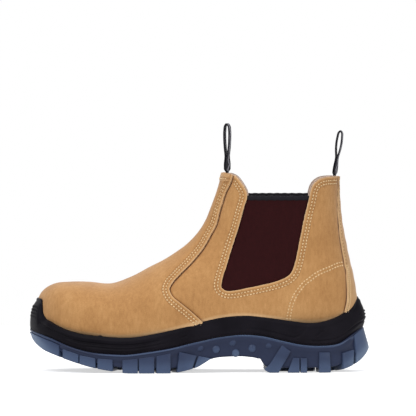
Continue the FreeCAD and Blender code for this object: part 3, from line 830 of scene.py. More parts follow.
# %% Sole lines
SOLE_PLAN = [(-155.3, 8), (-151.5, -10), (-141, -28), (-122, -43), (-95, -52), (-65, -56), (-35, -55),
             (0, -49), (35, -44), (70, -41.5), (100, -41), (125, -36), (144, -23), (155.2, -4),
             (153.7, 8), (143.6, 22), (125, 32), (105, 36), (80, 35.5), (50, 34.5), (20, 36.5),
             (-10, 42.5), (-40, 51), (-70, 56), (-95, 54.5), (-120, 48), (-140, 36), (-151, 23)]
RIM_TOP = [(-160, 66), (-149.6, 65.5), (-148.6, 61), (-147.2, 52), (-145, 48.9), (-139.5, 46.3),
           (-128.6, 41), (-112, 36.3), (-90, 33.6), (-63, 32.6), (-41, 35.8), (-19, 40.4), (2.7, 46.6),
           (24.6, 51), (45, 51.9), (63, 50), (85, 46.9), (101, 45.2), (117.6, 47.2), (128.6, 51.2),
           (137, 58), (143.8, 67.5), (147, 69), (160, 69)]
BORDER = [(-158, 39.5), (-155.5, 38), (-145, 33.8), (-134, 30), (-123, 25.4), (-112, 21.7), (-101, 19),
          (-79, 16.9), (-68, 16.6), (-46.5, 19), (-24.6, 22.6), (-2.7, 28), (19, 32.6), (38, 34.4),
          (57.5, 33), (79.3, 28), (95, 25), (112, 24.2), (128.6, 26.3), (139.5, 32.2), (150.8, 39),
          (158, 43)]
TREAD = [(-158, 41), (-155.5, 37.4), (-152.8, 30), (-143.8, 21.5), (-130, 15.6), (-110, 8.7),
         (-95, 4.7), (-78, 1.8), (-63, 0), (-44, 0), (-25, 0), (-13.7, 2), (-2, 5.4), (10.7, 12.4),
         (30, 14.8), (45, 14.4), (54, 12.4), (59, 3), (64, 0), (90, 0), (118, 0), (130, 2.5),
         (141, 6.8), (148.7, 12.2), (154, 18.7), (157, 26)]


def height_line(points):
    """A side-view line as a function that gives the height at x, in metres."""
    line = sorted((point.x, point.y) for point in spaced([Vector(pair) * MM for pair in points], MM))
    places = [x for x, z in line]

    def height(x):
        index = min(len(line) - 1, max(1, bisect.bisect(places, x)))
        (x0, z0), (x1, z1) = line[index - 1], line[index]
        share = min(1.0, max(0.0, (x - x0) / max(1e-9, x1 - x0)))
        return max(0.0, z0 + (z1 - z0) * share)

    return height


rim_height, border_height, tread_height = (height_line(line) for line in (RIM_TOP, BORDER, TREAD))
outline = spaced([Vector((x, y, 0)) * MM for x, y in SOLE_PLAN], MM, closed=True)[:-1]
STATIONS = len(outline)
outward = []
for index, point in enumerate(outline):
    along = outline[(index + 1) % STATIONS] - outline[index - 1]
    outward.append(Vector((-along.y, along.x, 0)).normalized())
if sum(out.dot(point) for out, point in zip(outward, outline)) < 0:
    outward = [-out for out in outward]
HEELNESS = [ease(point.x, 112 * MM, 150 * MM) for point in outline]
TOENESS = [ease(-point.x, 138 * MM, 152 * MM) for point in outline]
# The heel's wall leans in by this much at its top, so its lip is read that far in from the outline.
HEEL_LEAN_IN = 9.9 * MM
RIM = []
for index, point in enumerate(outline):
    RIM.append(rim_height(point.x - outward[index].x * HEEL_LEAN_IN * HEELNESS[index]))
print("outline:", STATIONS, "stations")


def sole_point(station, inset, height):
    """The place at a station of the outline, so far in from it and so high."""
    low = int(math.floor(station)) % STATIONS
    high, share = (low + 1) % STATIONS, station - math.floor(station)
    place = outline[low].lerp(outline[high], share)
    out = outward[low].lerp(outward[high], share).normalized()
    return Vector((place.x - out.x * inset, place.y - out.y * inset, height))


def sole_row(inset, height):
    """One row round the whole sole; inset and height are functions of the station's index."""
    return [sole_point(index, inset(index), height(index)) for index in range(STATIONS)]


# %% [markdown]
# ## The midsole
# The black part is moulded foam: a rolled lip under the upper, grooves along the forefoot, a tall
# bumper at the toe and a cup at the heel. It is one wall that runs round the outline. We make it as
# rows, from the border up to the lip, and press the grooves into the rows as small changes of depth.
# Inside, the wall follows the leather, which we find by casting rays at the foot form.

# %% Shape of the midsole's wall
TOE_WALL = [(0, .4), (.2, .3), (.4, .6), (.6, 1.5), (.84, 4.0), (1, 6.9)]
HEEL_WALL = [(0, 4.7), (.1, 3.9), (.4, 3.8), (.56, 4.6), (.7, 5.9), (.89, 8.3), (1, 9.9)]
SIDE_WALL = [(0, 1.6), (.12, 1.2), (.45, 1.0), (.8, 1.3), (1, 2.1)]
toe_wall, heel_wall, side_wall = (height_line([(share * 1000, inset) for share, inset in wall])
                                  for wall in (TOE_WALL, HEEL_WALL, SIDE_WALL))
GROOVE_LINES = [
    [(-15, 33.6), (-2.6, 36.6), (8.7, 39.4), (23.8, 40.7), (38.8, 40.9), (50, 40.2), (61.3, 38.5),
     (73.5, 35.7), (80.8, 33.2), (86, 32.4), (90, 33.6), (93.5, 36.8), (97, 42.1), (98.4, 45)],
    [(107.5, 34.1), (112, 38.5)],
    [(102.6, 29.1), (114, 29.2), (126.1, 31.6), (138.3, 38.1), (144.8, 42.5), (150, 45.5), (158, 47)],
    [(-147, 45.4), (-139, 41.9), (-128, 36.6), (-116, 32.2)],
]
groove_points = []
for line in GROOVE_LINES:
    groove_points += spaced([Vector((x, 0, z)) * MM for x, z in line], 0.5 * MM)
near_groove = tree_of(groove_points)


def forefoot_grooves(x, drop):
    """Three grooves under the lip, each a fixed drop below it, that fade out at their ends."""
    depth = 0.0
    for place, wide, deep, start, end in ((6.4, 1.15, 1.25, -127, -30), (10.0, .75, .7, -108, -26),
                                          (13.0, .6, .45, -96, -34)):
        fade = ease(x, start * MM, (start + 14) * MM) * (1 - ease(x, (end - 12) * MM, end * MM))
        depth = max(depth, fade * deep * math.exp(-((drop / MM - place) / wide) ** 2))
    return depth * MM


def midsole_inset(index, share):
    """Depth of the midsole's wall, in from the outline, at a share of its height."""
    x = outline[index].x
    low, high = border_height(x), RIM[index]
    height = low + (high - low) * share
    wall = side_wall(share) * (1 - HEELNESS[index]) + heel_wall(share) * HEELNESS[index]
    wall = wall * (1 - TOENESS[index]) + toe_wall(share) * TOENESS[index]
    near = near_groove.find(Vector((x, 0, height)))[2]
    line = 0.8 * MM * math.exp(-(near / (0.75 * MM)) ** 2)
    ledge = 0.55 * MM * HEELNESS[index] * (1 - ease(share, .1, .2))
    lip = -0.55 * MM * math.exp(-((high - height - 2.2 * MM) / (1.7 * MM)) ** 2) * (1 - TOENESS[index])
    return wall + line + ledge + lip + forefoot_grooves(x, high - height)


def lining_depth_at(index):
    """How far in from the outline the leather stands at the lip."""
    height = RIM[index] - 1.5 * MM
    start = sole_point(index, -8 * MM, height)
    hit = FORM.ray_cast(start, -outward[index])
    return hit[3] - 8 * MM if hit[0] is not None and hit[3] < 30 * MM else 9 * MM


meet = [lining_depth_at(index) for index in range(STATIONS)]
meet = [sum(meet[(index + step) % STATIONS] for step in (-2, -1, 0, 1, 2)) / 5 for index in range(STATIONS)]
print("midsole lip to leather, mm:", round(min(meet) / MM, 1), "to", round(max(meet) / MM, 1))

# %% Midsole
WALL_ROWS = 44


def sprue(x):
    """The small nub that the mould leaves on the lip."""
    return 1.0 * MM * math.exp(-((x + 91 * MM) / (1.5 * MM)) ** 2)


def lip_height(index):
    return RIM[index] + (sprue(outline[index].x) if outline[index].y < 0 else 0)


def lip_inset(index):
    return min(midsole_inset(index, 1), meet[index] - 1.4 * MM)


def base_height(index):
    return border_height(outline[index].x)


midsole_rows = []
for step in range(WALL_ROWS + 1):
    share = step / WALL_ROWS
    midsole_rows.append(sole_row(
        lambda index: min(midsole_inset(index, share), meet[index] - 1.4 * MM),
        lambda index: base_height(index) + (RIM[index] - 1.2 * MM - base_height(index)) * share))
for inset, drop in ((.25, .55), (.8, .1), (1.3, 0)):
    midsole_rows.append(sole_row(lambda index: lip_inset(index) + inset * MM,
                                 lambda index: lip_height(index) - drop * MM))
for inset, drop in ((-.3, .2), (1.5, 1.2)):
    midsole_rows.append(sole_row(lambda index: meet[index] + inset * MM,
                                 lambda index: lip_height(index) - drop * MM))
midsole_rows.append(sole_row(lambda index: meet[index] + 3.5 * MM, lambda index: base_height(index) + 5 * MM))
midsole_rows.append(sole_row(lambda index: 9 * MM, lambda index: base_height(index)))
midsole_rows.append(midsole_rows[0])
midsole_bm = bmesh.new()
loft(midsole_bm, midsole_rows)
bmesh.ops.remove_doubles(midsole_bm, verts=midsole_bm.verts, dist=1e-6)


def store_run(bm):
    """Stores the distance along the outline, and the height over the border, on each point."""
    run, rise = bm.verts.layers.float.new("run"), bm.verts.layers.float.new("rise")
    stations = tree_of(outline)
    for vert in bm.verts:
        vert[run] = stations.find(Vector((vert.co.x, vert.co.y, 0)))[1]
        vert[rise] = (vert.co.z - border_height(vert.co.x)) / MM


store_run(midsole_bm)
print("midsole rows:", len(midsole_rows))


# %% Black foam finish
def make_black_foam():
    """Moulded foam with a satin skin: a fine grain, faint flow marks and a knurled foot."""
    material, tree, shader, place = new_finish("black_foam", 0.46)
    shader.inputs["Specular IOR Level"].default_value = 0.04
    grain = group_node(tree, FIBRE, place, Fibre_Size=0.7)
    colour = ramp(tree, grain.outputs["Patch"], (0.35, srgb(13, 11, 16)), (0.65, srgb(25, 23, 29)))
    tree.links.new(colour, shader.inputs["Base Color"])
    rough = maths(tree, "MULTIPLY_ADD", grain.outputs["Patch"], 0.3, 0.33)
    tree.links.new(rough, shader.inputs["Roughness"])
    teeth = maths(tree, "SINE", maths(tree, "MULTIPLY", seam_mask(tree, "run"), math.tau / 1.9))
    rise = seam_mask(tree, "rise")
    under, over = maths(tree, "LESS_THAN", rise, 2.3), maths(tree, "GREATER_THAN", rise, 0.2)
    foot = maths(tree, "MULTIPLY", under, over)
    height = maths(tree, "MULTIPLY_ADD", maths(tree, "MULTIPLY", teeth, foot), 1.4,
                   maths(tree, "MULTIPLY", grain.outputs["Height"], 0.3))
    bump(tree, shader, height, 0.35 * MM, 0.8)
    return material


BLACK_FOAM = make_black_foam()
finish_piece("midsole_shell", midsole_bm, BLACK_FOAM, "boot", ("midsole",))

# %% Painted highlight where the leather bends over the midsole
# Painted highlight: the leather just above the midsole's rim is lightened where it bends and catches light.
for panel in (vamp, *quarters.values()):
    for vert, mark in zip(panel.data.vertices, panel.data.attributes["pale"].data):
        over = vert.co.z - rim_height(vert.co.x)
        mark.value = max(mark.value, 0.8 * (1 - ease(over, 0.8 * MM, 3.2 * MM)))
print("pale nap stored on", 1 + len(quarters), "panels")

# %% Ribs at the toe and heel
def rib(bm, station_span, share, tall, proud):
    """A low rounded bar on the midsole, along a span of stations at a share of the wall's height."""
    first, last = station_span
    count = max(4, round((last - first) / 2))
    ring_of = []
    for step in range(count + 1):
        station = first + (last - first) * step / count
        index = round(station) % STATIONS
        low, high = border_height(outline[index].x), RIM[index]
        swell = math.sin(math.pi * min(1, max(0, step / count))) ** 0.3
        ring = []
        for turn in range(8):
            angle = math.tau * turn / 8
            height = low + (high - low) * share + tall * MM * math.sin(angle)
            inset = midsole_inset(index, min(1, max(0, (height - low) / (high - low))))
            inset -= (math.cos(angle) * proud * swell - 0.25) * MM
            ring.append(sole_point(station, inset, height))
        ring_of.append(ring)
    loft(bm, ring_of)


tip = min(range(STATIONS), key=lambda index: outline[index].x)
back = max(range(STATIONS), key=lambda index: outline[index].x)
ribs_bm = bmesh.new()
for share in (.30, .41, .52):
    rib(ribs_bm, (back - 16, back + 16), share, 1.0, 1.0)
for step in range(-22, 23, 3):
    for share in (.44, .54, .64, .74):
        rib(ribs_bm, (tip + step - 1.1, tip + step + 1.1), share + .01 * (step % 2), 1.0, 0.55)
holes = [edge for edge in ribs_bm.edges if edge.is_boundary]
bmesh.ops.holes_fill(ribs_bm, edges=holes, sides=0)
store_run(ribs_bm)
finish_piece("midsole_ribs", ribs_bm, BLACK_FOAM, "boot", ())

# %% [markdown]
# ## The outsole
# The blue part is a clear, tinted rubber. Its body stands back from the outline, with a thin rim
# against the midsole, and the lugs reach out to the outline again, so each gap between two lugs is a
# dark recess. A lug is one cube, subdivided, bent to the outline and bevelled.

# %% Outsole body
RECESS = 2.4 * MM
LUG_DEPTH = 4.5 * MM
HEEL_LEAN = [(7, 0), (21.7, 0), (30, 2.2), (36, 3.9), (40, 4.9), (60, 4.9)]
heel_lean = height_line(HEEL_LEAN)


def lean_at(index, height):
    """How far the outsole's wall stands in at the heel, where it leans."""
    return heel_lean(height) * HEELNESS[index]


def body_bottom(x):
    """Underside of the outsole's body; only the arch has no lugs below it."""
    arch = ease(x, -18 * MM, -6 * MM) * (1 - ease(x, 53 * MM, 58 * MM))
    tread = tread_height(x)
    return max(tread, min(tread + LUG_DEPTH * (1 - arch), border_height(x) - 3.5 * MM))


def band_drop(x):
    """Height of the smooth band under the rim: taller over the forefoot lugs."""
    return (4.6 - 2.0 * ease(x, -26 * MM, -16 * MM)) * MM


SOLE_ROWS = [  # depth in from the outline, drop from the border, share of the way to the underside
    (9, -.4, 0), (1.6, -.5, 0), (.7, -.35, 0), (.15, .15, 0), (0, .6, 0), (.15, 1.1, 0),
    (.75, 1.5, 0), (.85, 2.2, .05), (.9, 3.4, .12), (1.5, 4.2, .2), (2.3, 4.8, .3), (2.4, 5.6, .6),
    (2.4, 6.2, .88), (2.8, 6.2, .98), (3.6, 6.2, 1)]


def body_height(index, drop, share):
    x = outline[index].x
    top, low = border_height(x), body_bottom(x)
    drop = min(drop * MM * band_drop(x) / (4.6 * MM), (top - low) * .9)
    return (top - drop) * (1 - share) + low * share


outsole_rows = []
for inset, drop, share in SOLE_ROWS:
    outsole_rows.append(sole_row(
        lambda index: inset * MM + lean_at(index, body_height(index, drop, share)),
        lambda index: body_height(index, drop, share)))
SPINE = [Vector((min(112, max(-118, point.x / MM)), -1, 0)) * MM for point in outline]
for share in (.2, .45, .7, .9):
    row = []
    for edge, spine in zip(outsole_rows[len(SOLE_ROWS) - 1], SPINE):
        place = Vector((edge.x, edge.y, 0)).lerp(spine, share)
        row.append(Vector((place.x, place.y, body_bottom(place.x))))
    outsole_rows.append(row)
outsole_bm = bmesh.new()
loft(outsole_bm, outsole_rows)
inner_edge = [edge for edge in outsole_bm.edges if edge.is_boundary
              and edge.verts[0].co.z < border_height(edge.verts[0].co.x) - 3 * MM]
bmesh.ops.triangle_fill(outsole_bm, edges=inner_edge, use_beauty=True)
print("outsole body:", len(outsole_bm.faces), "faces")


# %% Lugs
def station_at(x, side):
    """The station where the outline passes x on one side."""
    places = [index for index in range(STATIONS)
              if outline[index].y * side > 0 or abs(outline[index].x) > 150 * MM]
    return min(places, key=lambda index: abs(outline[index].x - x * MM))


def bent_block(bm, cuts, place, round_by=0.55):
    """A cube, cut up, carried to its place by a function of three shares, and bevelled."""
    first = len(bm.verts)
    block = bmesh.new()
    bmesh.ops.create_cube(block, size=1)
    for axis, number in enumerate(cuts):
        edges = [edge for edge in block.edges
                 if abs((edge.verts[0].co - edge.verts[1].co).normalized()[axis]) > 0.9]
        bmesh.ops.subdivide_edges(block, edges=edges, cuts=number, use_grid_fill=True)
    sharp = [edge for edge in block.edges if edge.calc_face_angle(0) > 0.5]
    where = {}
    for vert in block.verts:
        where[vert] = place(*(vert.co + Vector((.5, .5, .5))))
    for vert, spot in where.items():
        vert.co = spot
    bmesh.ops.recalc_face_normals(block, faces=block.faces)
    bmesh.ops.bevel(block, geom=sharp, offset=round_by * MM, segments=2, profile=0.5,
                    affect="EDGES", material=-1, clamp_overlap=True)
    mesh = bpy.data.meshes.new("block")
    block.to_mesh(mesh)
    block.free()
    bm.from_mesh(mesh)
    bpy.data.meshes.remove(mesh)


def side_lug(bm, top, bottom, height, side, depth, cuts=(4, 3, 2)):
    """A lug on the wall: top and bottom are spans of x, height is its top at each end of the span."""
    span_top = [station_at(x, side) for x in top]
    span_low = [station_at(x, side) for x in bottom]

    def place(along, across, up):
        station = ((span_low[0] * (1 - along) + span_low[1] * along) * (1 - up)
                   + (span_top[0] * (1 - along) + span_top[1] * along) * up)
        index = round(station) % STATIONS
        high = (height[0] * (1 - along) + height[1] * along) * MM
        inset = depth * MM * across
        spot = sole_point(station, inset, 0)
        low = tread_height(spot.x)
        spot.z = low + (max(high, low + 1 * MM) - low) * up
        lean = lean_at(index, spot.z)
        return sole_point(station, inset + lean, spot.z)

    bent_block(bm, cuts, place)


# top span, bottom span, top heights, depth in from the outline
FOREFOOT_LUGS = [(-124.6, -110.3), (-108.6, -94.2), (-92.6, -78.2), (-69.7, -55.7), (-54.4, -40.8),
                 (-39.2, -25.4)]
SIDE_LUGS = [((-17.6, -2.6), (-20, -6.6), (19.6, 15.9), 30), ((-.6, 13), (-4.4, 8), (15.6, 12.9), 26),
             ((75.3, 83.4), (58.8, 72.6), (25.3, 19.4), 22), ((85.5, 91.4), (80.6, 91), (13.6, 13.6), 20),
             ((92.2, 98.4), (91.8, 98.2), (13.4, 13.2), 20), ((109.2, 118.6), (109, 120.2), (18.6, 18.6), 20),
             ((130.5, 141.6), (131.5, 141), (17.6, 20.2), 16)]
lug_bm = bmesh.new()
for side in (-1, 1):
    for start, end in FOREFOOT_LUGS:
        tops = [(border_height(x * MM) - band_drop(x * MM)) / MM + .4 for x in (start, end)]
        side_lug(lug_bm, (start, end), (start, end), tops, side, 34)
    for top, bottom, height, depth in SIDE_LUGS:
        side_lug(lug_bm, top, bottom, height, side, depth)


def wrap_lug(bm, first, last, top, depth, cuts):
    """A lug that follows the outline round the toe or the heel."""
    def place(along, across, up):
        station = first + (last - first) * along
        spot = sole_point(station, depth * MM * across, 0)
        low = min(tread_height(spot.x), top(spot.x) - 1 * MM)
        height = low + (top(spot.x) - low) * up
        return sole_point(station, depth * MM * across + lean_at(round(station) % STATIONS, height), height)

    bent_block(bm, cuts, place)


def span_round(end, x):
    """Stations each side of an end of the boot, out to x."""
    count = next(step for step in range(STATIONS) if abs(outline[(end + step) % STATIONS].x) < abs(x) * MM)
    other = next(step for step in range(STATIONS) if abs(outline[(end - step) % STATIONS].x) < abs(x) * MM)
    return end - other, end + count


toe_span, heel_span = span_round(tip, -128.6), span_round(back, 144.2)
wrap_lug(lug_bm, *toe_span, lambda x: border_height(x) - 2.2 * MM, 22, (60, 4, 3))
wrap_lug(lug_bm, *heel_span, lambda x: border_height(x) - 1.0 * MM, 13, (26, 3, 4))
MIDDLE_LUGS = [(-120, -108), (-103, -90), (-85, -72), (-67, -54), (-49, -36), (-31, -18), (68, 84), (90, 104),
               (110, 124)]
for start, end in MIDDLE_LUGS:
    def place(along, across, up):
        x = (start + (end - start) * along + 4 * (0.5 - abs(across - .5))) * MM
        return Vector((x, (across * 16 - 9) * MM, tread_height(x) + 6 * MM * up))
    bent_block(lug_bm, (2, 3, 1), place)
print("lugs:", len(lug_bm.faces), "faces")

# %% Studs in the arch
STUDS = [(.4, 23.2), (15.8, 21.6), (30, 28), (33.7, 18.0), (48, 22.4), (62.8, 25.6)]
for side in (-1, 1):
    for x, z in STUDS:
        station = station_at(x, side)
        centre = sole_point(station, RECESS + .2 * MM, z * MM)
        out = outward[station]
        first = len(lug_bm.verts)
        made = bmesh.ops.create_uvsphere(lug_bm, u_segments=16, v_segments=10, radius=3.6 * MM)["verts"]
        for vert in made:
            flat = Vector((vert.co.x, vert.co.y * .5, vert.co.z))
            vert.co = centre + Vector((flat.x, 0, flat.z)) + out * (flat.y)
print("studs:", len(STUDS) * 2)


# %% Blue rubber finish
def make_blue_rubber():
    """Tinted rubber with painted light: the colour is lighter towards the foot of each lug and along thin
    edges, and darker in the recesses.
    """
    material, tree, shader, place = new_finish("blue_rubber", 0.34, Coat_Weight=0.04, Coat_Roughness=0.25)
    shader.inputs["Specular IOR Level"].default_value = 0.1
    grain = group_node(tree, FIBRE, place, Fibre_Size=1.0)
    light = seam_mask(tree, "light")
    cloud = maths(tree, "MULTIPLY_ADD", grain.outputs["Patch"], 0.3, -0.15)
    tone = maths(tree, "ADD", light, cloud)
    colour = ramp(tree, tone, (0.0, srgb(30, 34, 52)), (0.3, srgb(44, 52, 76)), (0.62, srgb(70, 84, 112)),
                  (1.0, srgb(112, 130, 156)))
    tree.links.new(colour, shader.inputs["Base Color"])
    rough = maths(tree, "MULTIPLY_ADD", grain.outputs["Fibre"], 0.2, 0.26)
    tree.links.new(rough, shader.inputs["Roughness"])
    strokes = noise(tree, place, 160.0, 2.0, 0.5, (1.6, 1.6, 0.25))
    fine = maths(tree, "MULTIPLY", grain.outputs["Height"], 0.3)
    bump(tree, shader, maths(tree, "MULTIPLY_ADD", strokes, 0.7, fine), 0.25 * MM, 0.5)
    return material


BLUE_RUBBER = make_blue_rubber()


def light_up(bm, how):
    layer = bm.verts.layers.float.new("light")
    for vert in bm.verts:
        vert[layer] = how(vert.co)


# Painted light: a highlight along the rim bead, lighter colour at the toe and low on the body, and darker
# colour elsewhere as the shade of the recesses.
def body_light(place):
    drop = (border_height(place.x) - place.z) / MM
    rim = .62 * (1 - ease(abs(drop - .5), .5, 1.1)) * (1 - .5 * ease(-place.x, 80 * MM, 100 * MM))
    toe = .25 * ease(-place.x, 118 * MM, 140 * MM)
    return max(rim, .2 + toe + .1 * ease(place.z / MM, 22, 0))


# Painted light: each lug is lighter towards its foot and round the toe and heel, as light glowing through the
# rubber.
def lug_light(place):
    low = tread_height(place.x)
    share = (place.z - low) / (14 * MM)
    glow = .25 * ease(abs(place.x), 128 * MM, 150 * MM)
    return .66 - .3 * ease(share, .1, 1.0) + glow


light_up(outsole_bm, body_light)
light_up(lug_bm, lug_light)
finish_piece("outsole_body", outsole_bm, BLUE_RUBBER, "boot", ("outsole",))
finish_piece("outsole_lugs", lug_bm, BLUE_RUBBER, "boot", (), outward=False)

# %% [markdown]
# ## Backstay, facing and elastic
# A narrow strip of paler leather covers the back seam, and a short folded facing finishes the front
# tab. Both lie on top of the panels, so they are cut from the same form and lifted a little more. The
# elastic lies behind the leather, so it is cut a little wider than its window and pressed inward.

# %% Backstay
def backstay_edge(place):
    return min(nearest(near_backstay, place), 20 * MM)


def backstay_lift(place):
    rolled = 0.7 * MM * (1 - ease(backstay_edge(place), 0, 1.6 * MM))
    return 1.2 * MM - rolled + ripple(place) + 0.15 * MM * math.sin(place.z / MM * .5)


backstay_bm = copy_of_form()
cut(backstay_bm, backstay_seam.value)
cut(backstay_bm, on_leather)
cut(backstay_bm, above_sole)
refine(backstay_bm, backstay_edge, 7 * MM)
shape_panel(backstay_bm, backstay_lift, lambda place: channel_at(backstay_edge(place), (2.2 * MM,)),
            backstay_edge)
backstay = finish_piece("backstay_strip", backstay_bm, BACKSTAY_SUEDE, "boot", ("backstay",))
thicken(backstay, 1.6 * MM)

# %% Front tab facing
FACING_LOW = 174.2 * MM


def facing_lift(place):
    rolled = 0.5 * MM * (1 - ease(place.z - FACING_LOW, 0, 1.4 * MM))
    return vamp_lift(place) + 0.85 * MM - rolled


facing_bm = copy_of_form()
cut(facing_bm, on_leather)
cut(facing_bm, lambda place: vamp_seam.value(place) * -1 - 1.2 * MM)
cut(facing_bm, lambda place: place.z - FACING_LOW - 0.7 * MM * math.sin(place.y / MM * .11))
refine(facing_bm, lambda place: place.z - FACING_LOW, 9 * MM)
shape_panel(facing_bm, facing_lift, lambda place: channel_at(place.z - FACING_LOW, (2.0 * MM,)))
facing = finish_piece("front_facing", facing_bm, BACKSTAY_SUEDE, "boot", ("front_tab_facing",))
thicken(facing, 0.9 * MM)


# %% Elastic finish
def make_elastic():
    """Ribbed woven elastic: upright cords with fine cross threads, dark maroon."""
    material, tree, shader, place = new_finish("maroon_elastic", 0.82, Sheen_Weight=0.03, Sheen_Roughness=0.5)
    shader.inputs["Specular IOR Level"].default_value = 0.05
    cords = group_node(tree, WEAVE, place, Across=0.85, Along=0.62)
    fuzz = group_node(tree, FIBRE, place, Fibre_Size=0.45)
    tone = maths(tree, "MULTIPLY_ADD", fuzz.outputs["Fibre"], 0.5,
                 maths(tree, "MULTIPLY", cords.outputs["Thread"], 0.5))
    colour = ramp(tree, tone, (0.2, srgb(30, 9, 11)), (0.5, srgb(48, 17, 19)), (0.85, srgb(66, 27, 29)))
    tree.links.new(colour, shader.inputs["Base Color"])
    tree.links.new(maths(tree, "MULTIPLY_ADD", fuzz.outputs["Fibre"], 0.2, 0.7), shader.inputs["Roughness"])
    bump(tree, shader, cords.outputs["Height"], 0.25 * MM, 0.7)
    return material


def make_tape(name, dark, light, pitch):
    """A close plain weave, as on binding tape or the backing of a lining."""
    material, tree, shader, place = new_finish(name, 0.8)
    shader.inputs["Specular IOR Level"].default_value = 0.15
    threads = group_node(tree, WEAVE, place, Across=pitch, Along=pitch)
    fuzz = group_node(tree, FIBRE, place, Fibre_Size=0.4)
    tone = maths(tree, "MULTIPLY_ADD", fuzz.outputs["Fibre"], 0.6,
                 maths(tree, "MULTIPLY", threads.outputs["Thread"], 0.4))
    tree.links.new(ramp(tree, tone, (0.25, dark), (0.75, light)), shader.inputs["Base Color"])
    tree.links.new(maths(tree, "MULTIPLY_ADD", fuzz.outputs["Fibre"], 0.2, 0.7), shader.inputs["Roughness"])
    bump(tree, shader, threads.outputs["Height"], 0.2 * MM, 0.7)
    return material


ELASTIC = make_elastic()
BINDING = make_tape("black_binding", srgb(14, 13, 17), srgb(38, 36, 42), 0.7)
LINING = make_tape("lining_cloth", srgb(172, 148, 132), srgb(222, 202, 188), 0.8)
HEEL_GRIP = make_suede("heel_grip", srgb(150, 120, 92), srgb(176, 146, 114), srgb(196, 168, 136), 0.6)

# %% Elastic gores
GORE_DEPTH = 2.3 * MM
for side, sign in SIDES.items():
    bm = copy_of_form()
    cut(bm, lambda place: opening.value(place) + 5.5 * MM)
    cut(bm, lambda place: COLLAR * MM - place.z)
    cut(bm, lambda place: place.y * sign - 12 * MM)
    bmesh.ops.subdivide_edges(bm, edges=bm.edges, cuts=1, use_grid_fill=True)

    def sag(place):
        inside = ease(opening.value(place), 0, 14 * MM)
        return -GORE_DEPTH - 0.9 * MM * inside * ease(COLLAR * MM - place.z, 0, 10 * MM)

    shape_panel(bm, sag, lambda place: 0.0)
    gore = finish_piece(side + "_elastic", bm, ELASTIC, "boot", (side + "_gore",))
    thicken(gore, 1.2 * MM, 0.2)


# %% Binding over the elastic
def collar_line(sign, height):
    """Places along the top of the elastic on one side, front to back, with the way out at each."""
    line = []
    for step in range(59):
        x = (43.2 + (100.8 - 43.2) * step / 58) * MM
        start = Vector((x, sign * 0.12, height))
        place, normal, index, distance = FORM.ray_cast(start, Vector((0, -sign, 0)))
        out = Vector((normal.x, normal.y, 0)).normalized()
        line.append((place, out))
    return line


TAPE_TALL = 4.2 * MM
for side, sign in SIDES.items():
    bm = bmesh.new()
    rows = []
    higher = (-.2 if sign < 0 else 1.0) * MM
    for place, out in collar_line(sign, COLLAR * MM - 1 * MM):
        ring = []
        wave = 0.15 * MM * math.sin(place.x / MM * .9)
        for turn in range(16):
            angle = math.tau * turn / 16
            across = math.copysign(abs(math.cos(angle)) ** .7, math.cos(angle)) * 1.25 * MM
            up = math.copysign(abs(math.sin(angle)) ** .55, math.sin(angle)) * TAPE_TALL / 2
            ring.append(place - out * (GORE_DEPTH + .55 * MM - across) + Vector((0, 0, up + higher + wave)))
        rows.append(ring)
    loft(bm, rows)
    bmesh.ops.holes_fill(bm, edges=[edge for edge in bm.edges if edge.is_boundary], sides=0)
    finish_piece(side + "_collar_tape", bm, BINDING, "boot", (side + "_gore_binding",))

# %% [markdown]
# ## Linings
# Inside the tabs and the vamp the boot is lined. The lining shows as a thin pale edge round the tabs
# and on the inside of the shaft. Each piece is a panel of the form, pressed in past the leather.

# %% Linings
LINING_DEPTH = 2.6 * MM


def line_panel(name, cuts, nodes, finish, depth=LINING_DEPTH, wall=1.0 * MM):
    bm = copy_of_form()
    for value in cuts:
        cut(bm, value)
    shape_panel(bm, lambda place: -depth + 0.3 * ripple(place), lambda place: 0.0)
    piece = finish_piece(name, bm, finish, "boot", nodes)
    thicken(piece, wall, 0.25)
    return piece


def out_of_opening(place):
    return on_leather(place) + 0.5 * MM


def above_bed(place):
    return place.z - bottom_line(place.x) - 8 * MM


line_panel("vamp_lining_cloth", [out_of_opening, lambda place: 6 * MM - place.x, above_bed],
           ("vamp_lining",), LINING)
for side, sign in SIDES.items():
    line_panel(side + "_quarter_cloth",
               [out_of_opening, lambda place: place.x - 6 * MM, above_bed,
                lambda place: place.z - 108 * MM if place.x > 78 * MM else MM,
                lambda place: place.y * sign],
               (side + "_quarter_lining",), LINING)
line_panel("heel_grip_leather", [lambda place: 112 * MM - place.z, lambda place: place.x - 76 * MM, above_bed,
                                 out_of_opening], ("heel_lining",), HEEL_GRIP,
           LINING_DEPTH + .6 * MM)

# %% [markdown]
# ## Stitching
# Each stitch is a short fat thread that dips into the leather at both ends. One small six-sided bar
# makes all of them. A row is a pattern line moved sideways over its panel and spaced at the machine's
# stitch length, with a bar laid along each step and half sunk in its channel.

# %% Thread finish
def make_thread():
    """Twisted cream thread."""
    material, tree, shader, place = new_finish("cream_thread", 0.6)
    shader.inputs["Specular IOR Level"].default_value = 0.25
    fuzz = group_node(tree, FIBRE, place, Fibre_Size=0.35)
    colour = ramp(tree, fuzz.outputs["Fibre"], (0.35, srgb(196, 160, 112)), (0.65, srgb(242, 217, 174)))
    tree.links.new(colour, shader.inputs["Base Color"])
    tree.links.new(maths(tree, "MULTIPLY_ADD", fuzz.outputs["Fibre"], 0.3, 0.5), shader.inputs["Roughness"])
    bump(tree, shader, fuzz.outputs["Height"], 0.15 * MM, 0.6)
    return material


THREAD = make_thread()


# %% Rows of stitches
STITCH_PITCH = 3.0 * MM


def surface_of(piece):
    """A search tree over the outer faces of a panel."""
    return BVHTree.FromPolygons([vert.co for vert in piece.data.vertices],
                                [list(face.vertices) for face in piece.data.polygons])


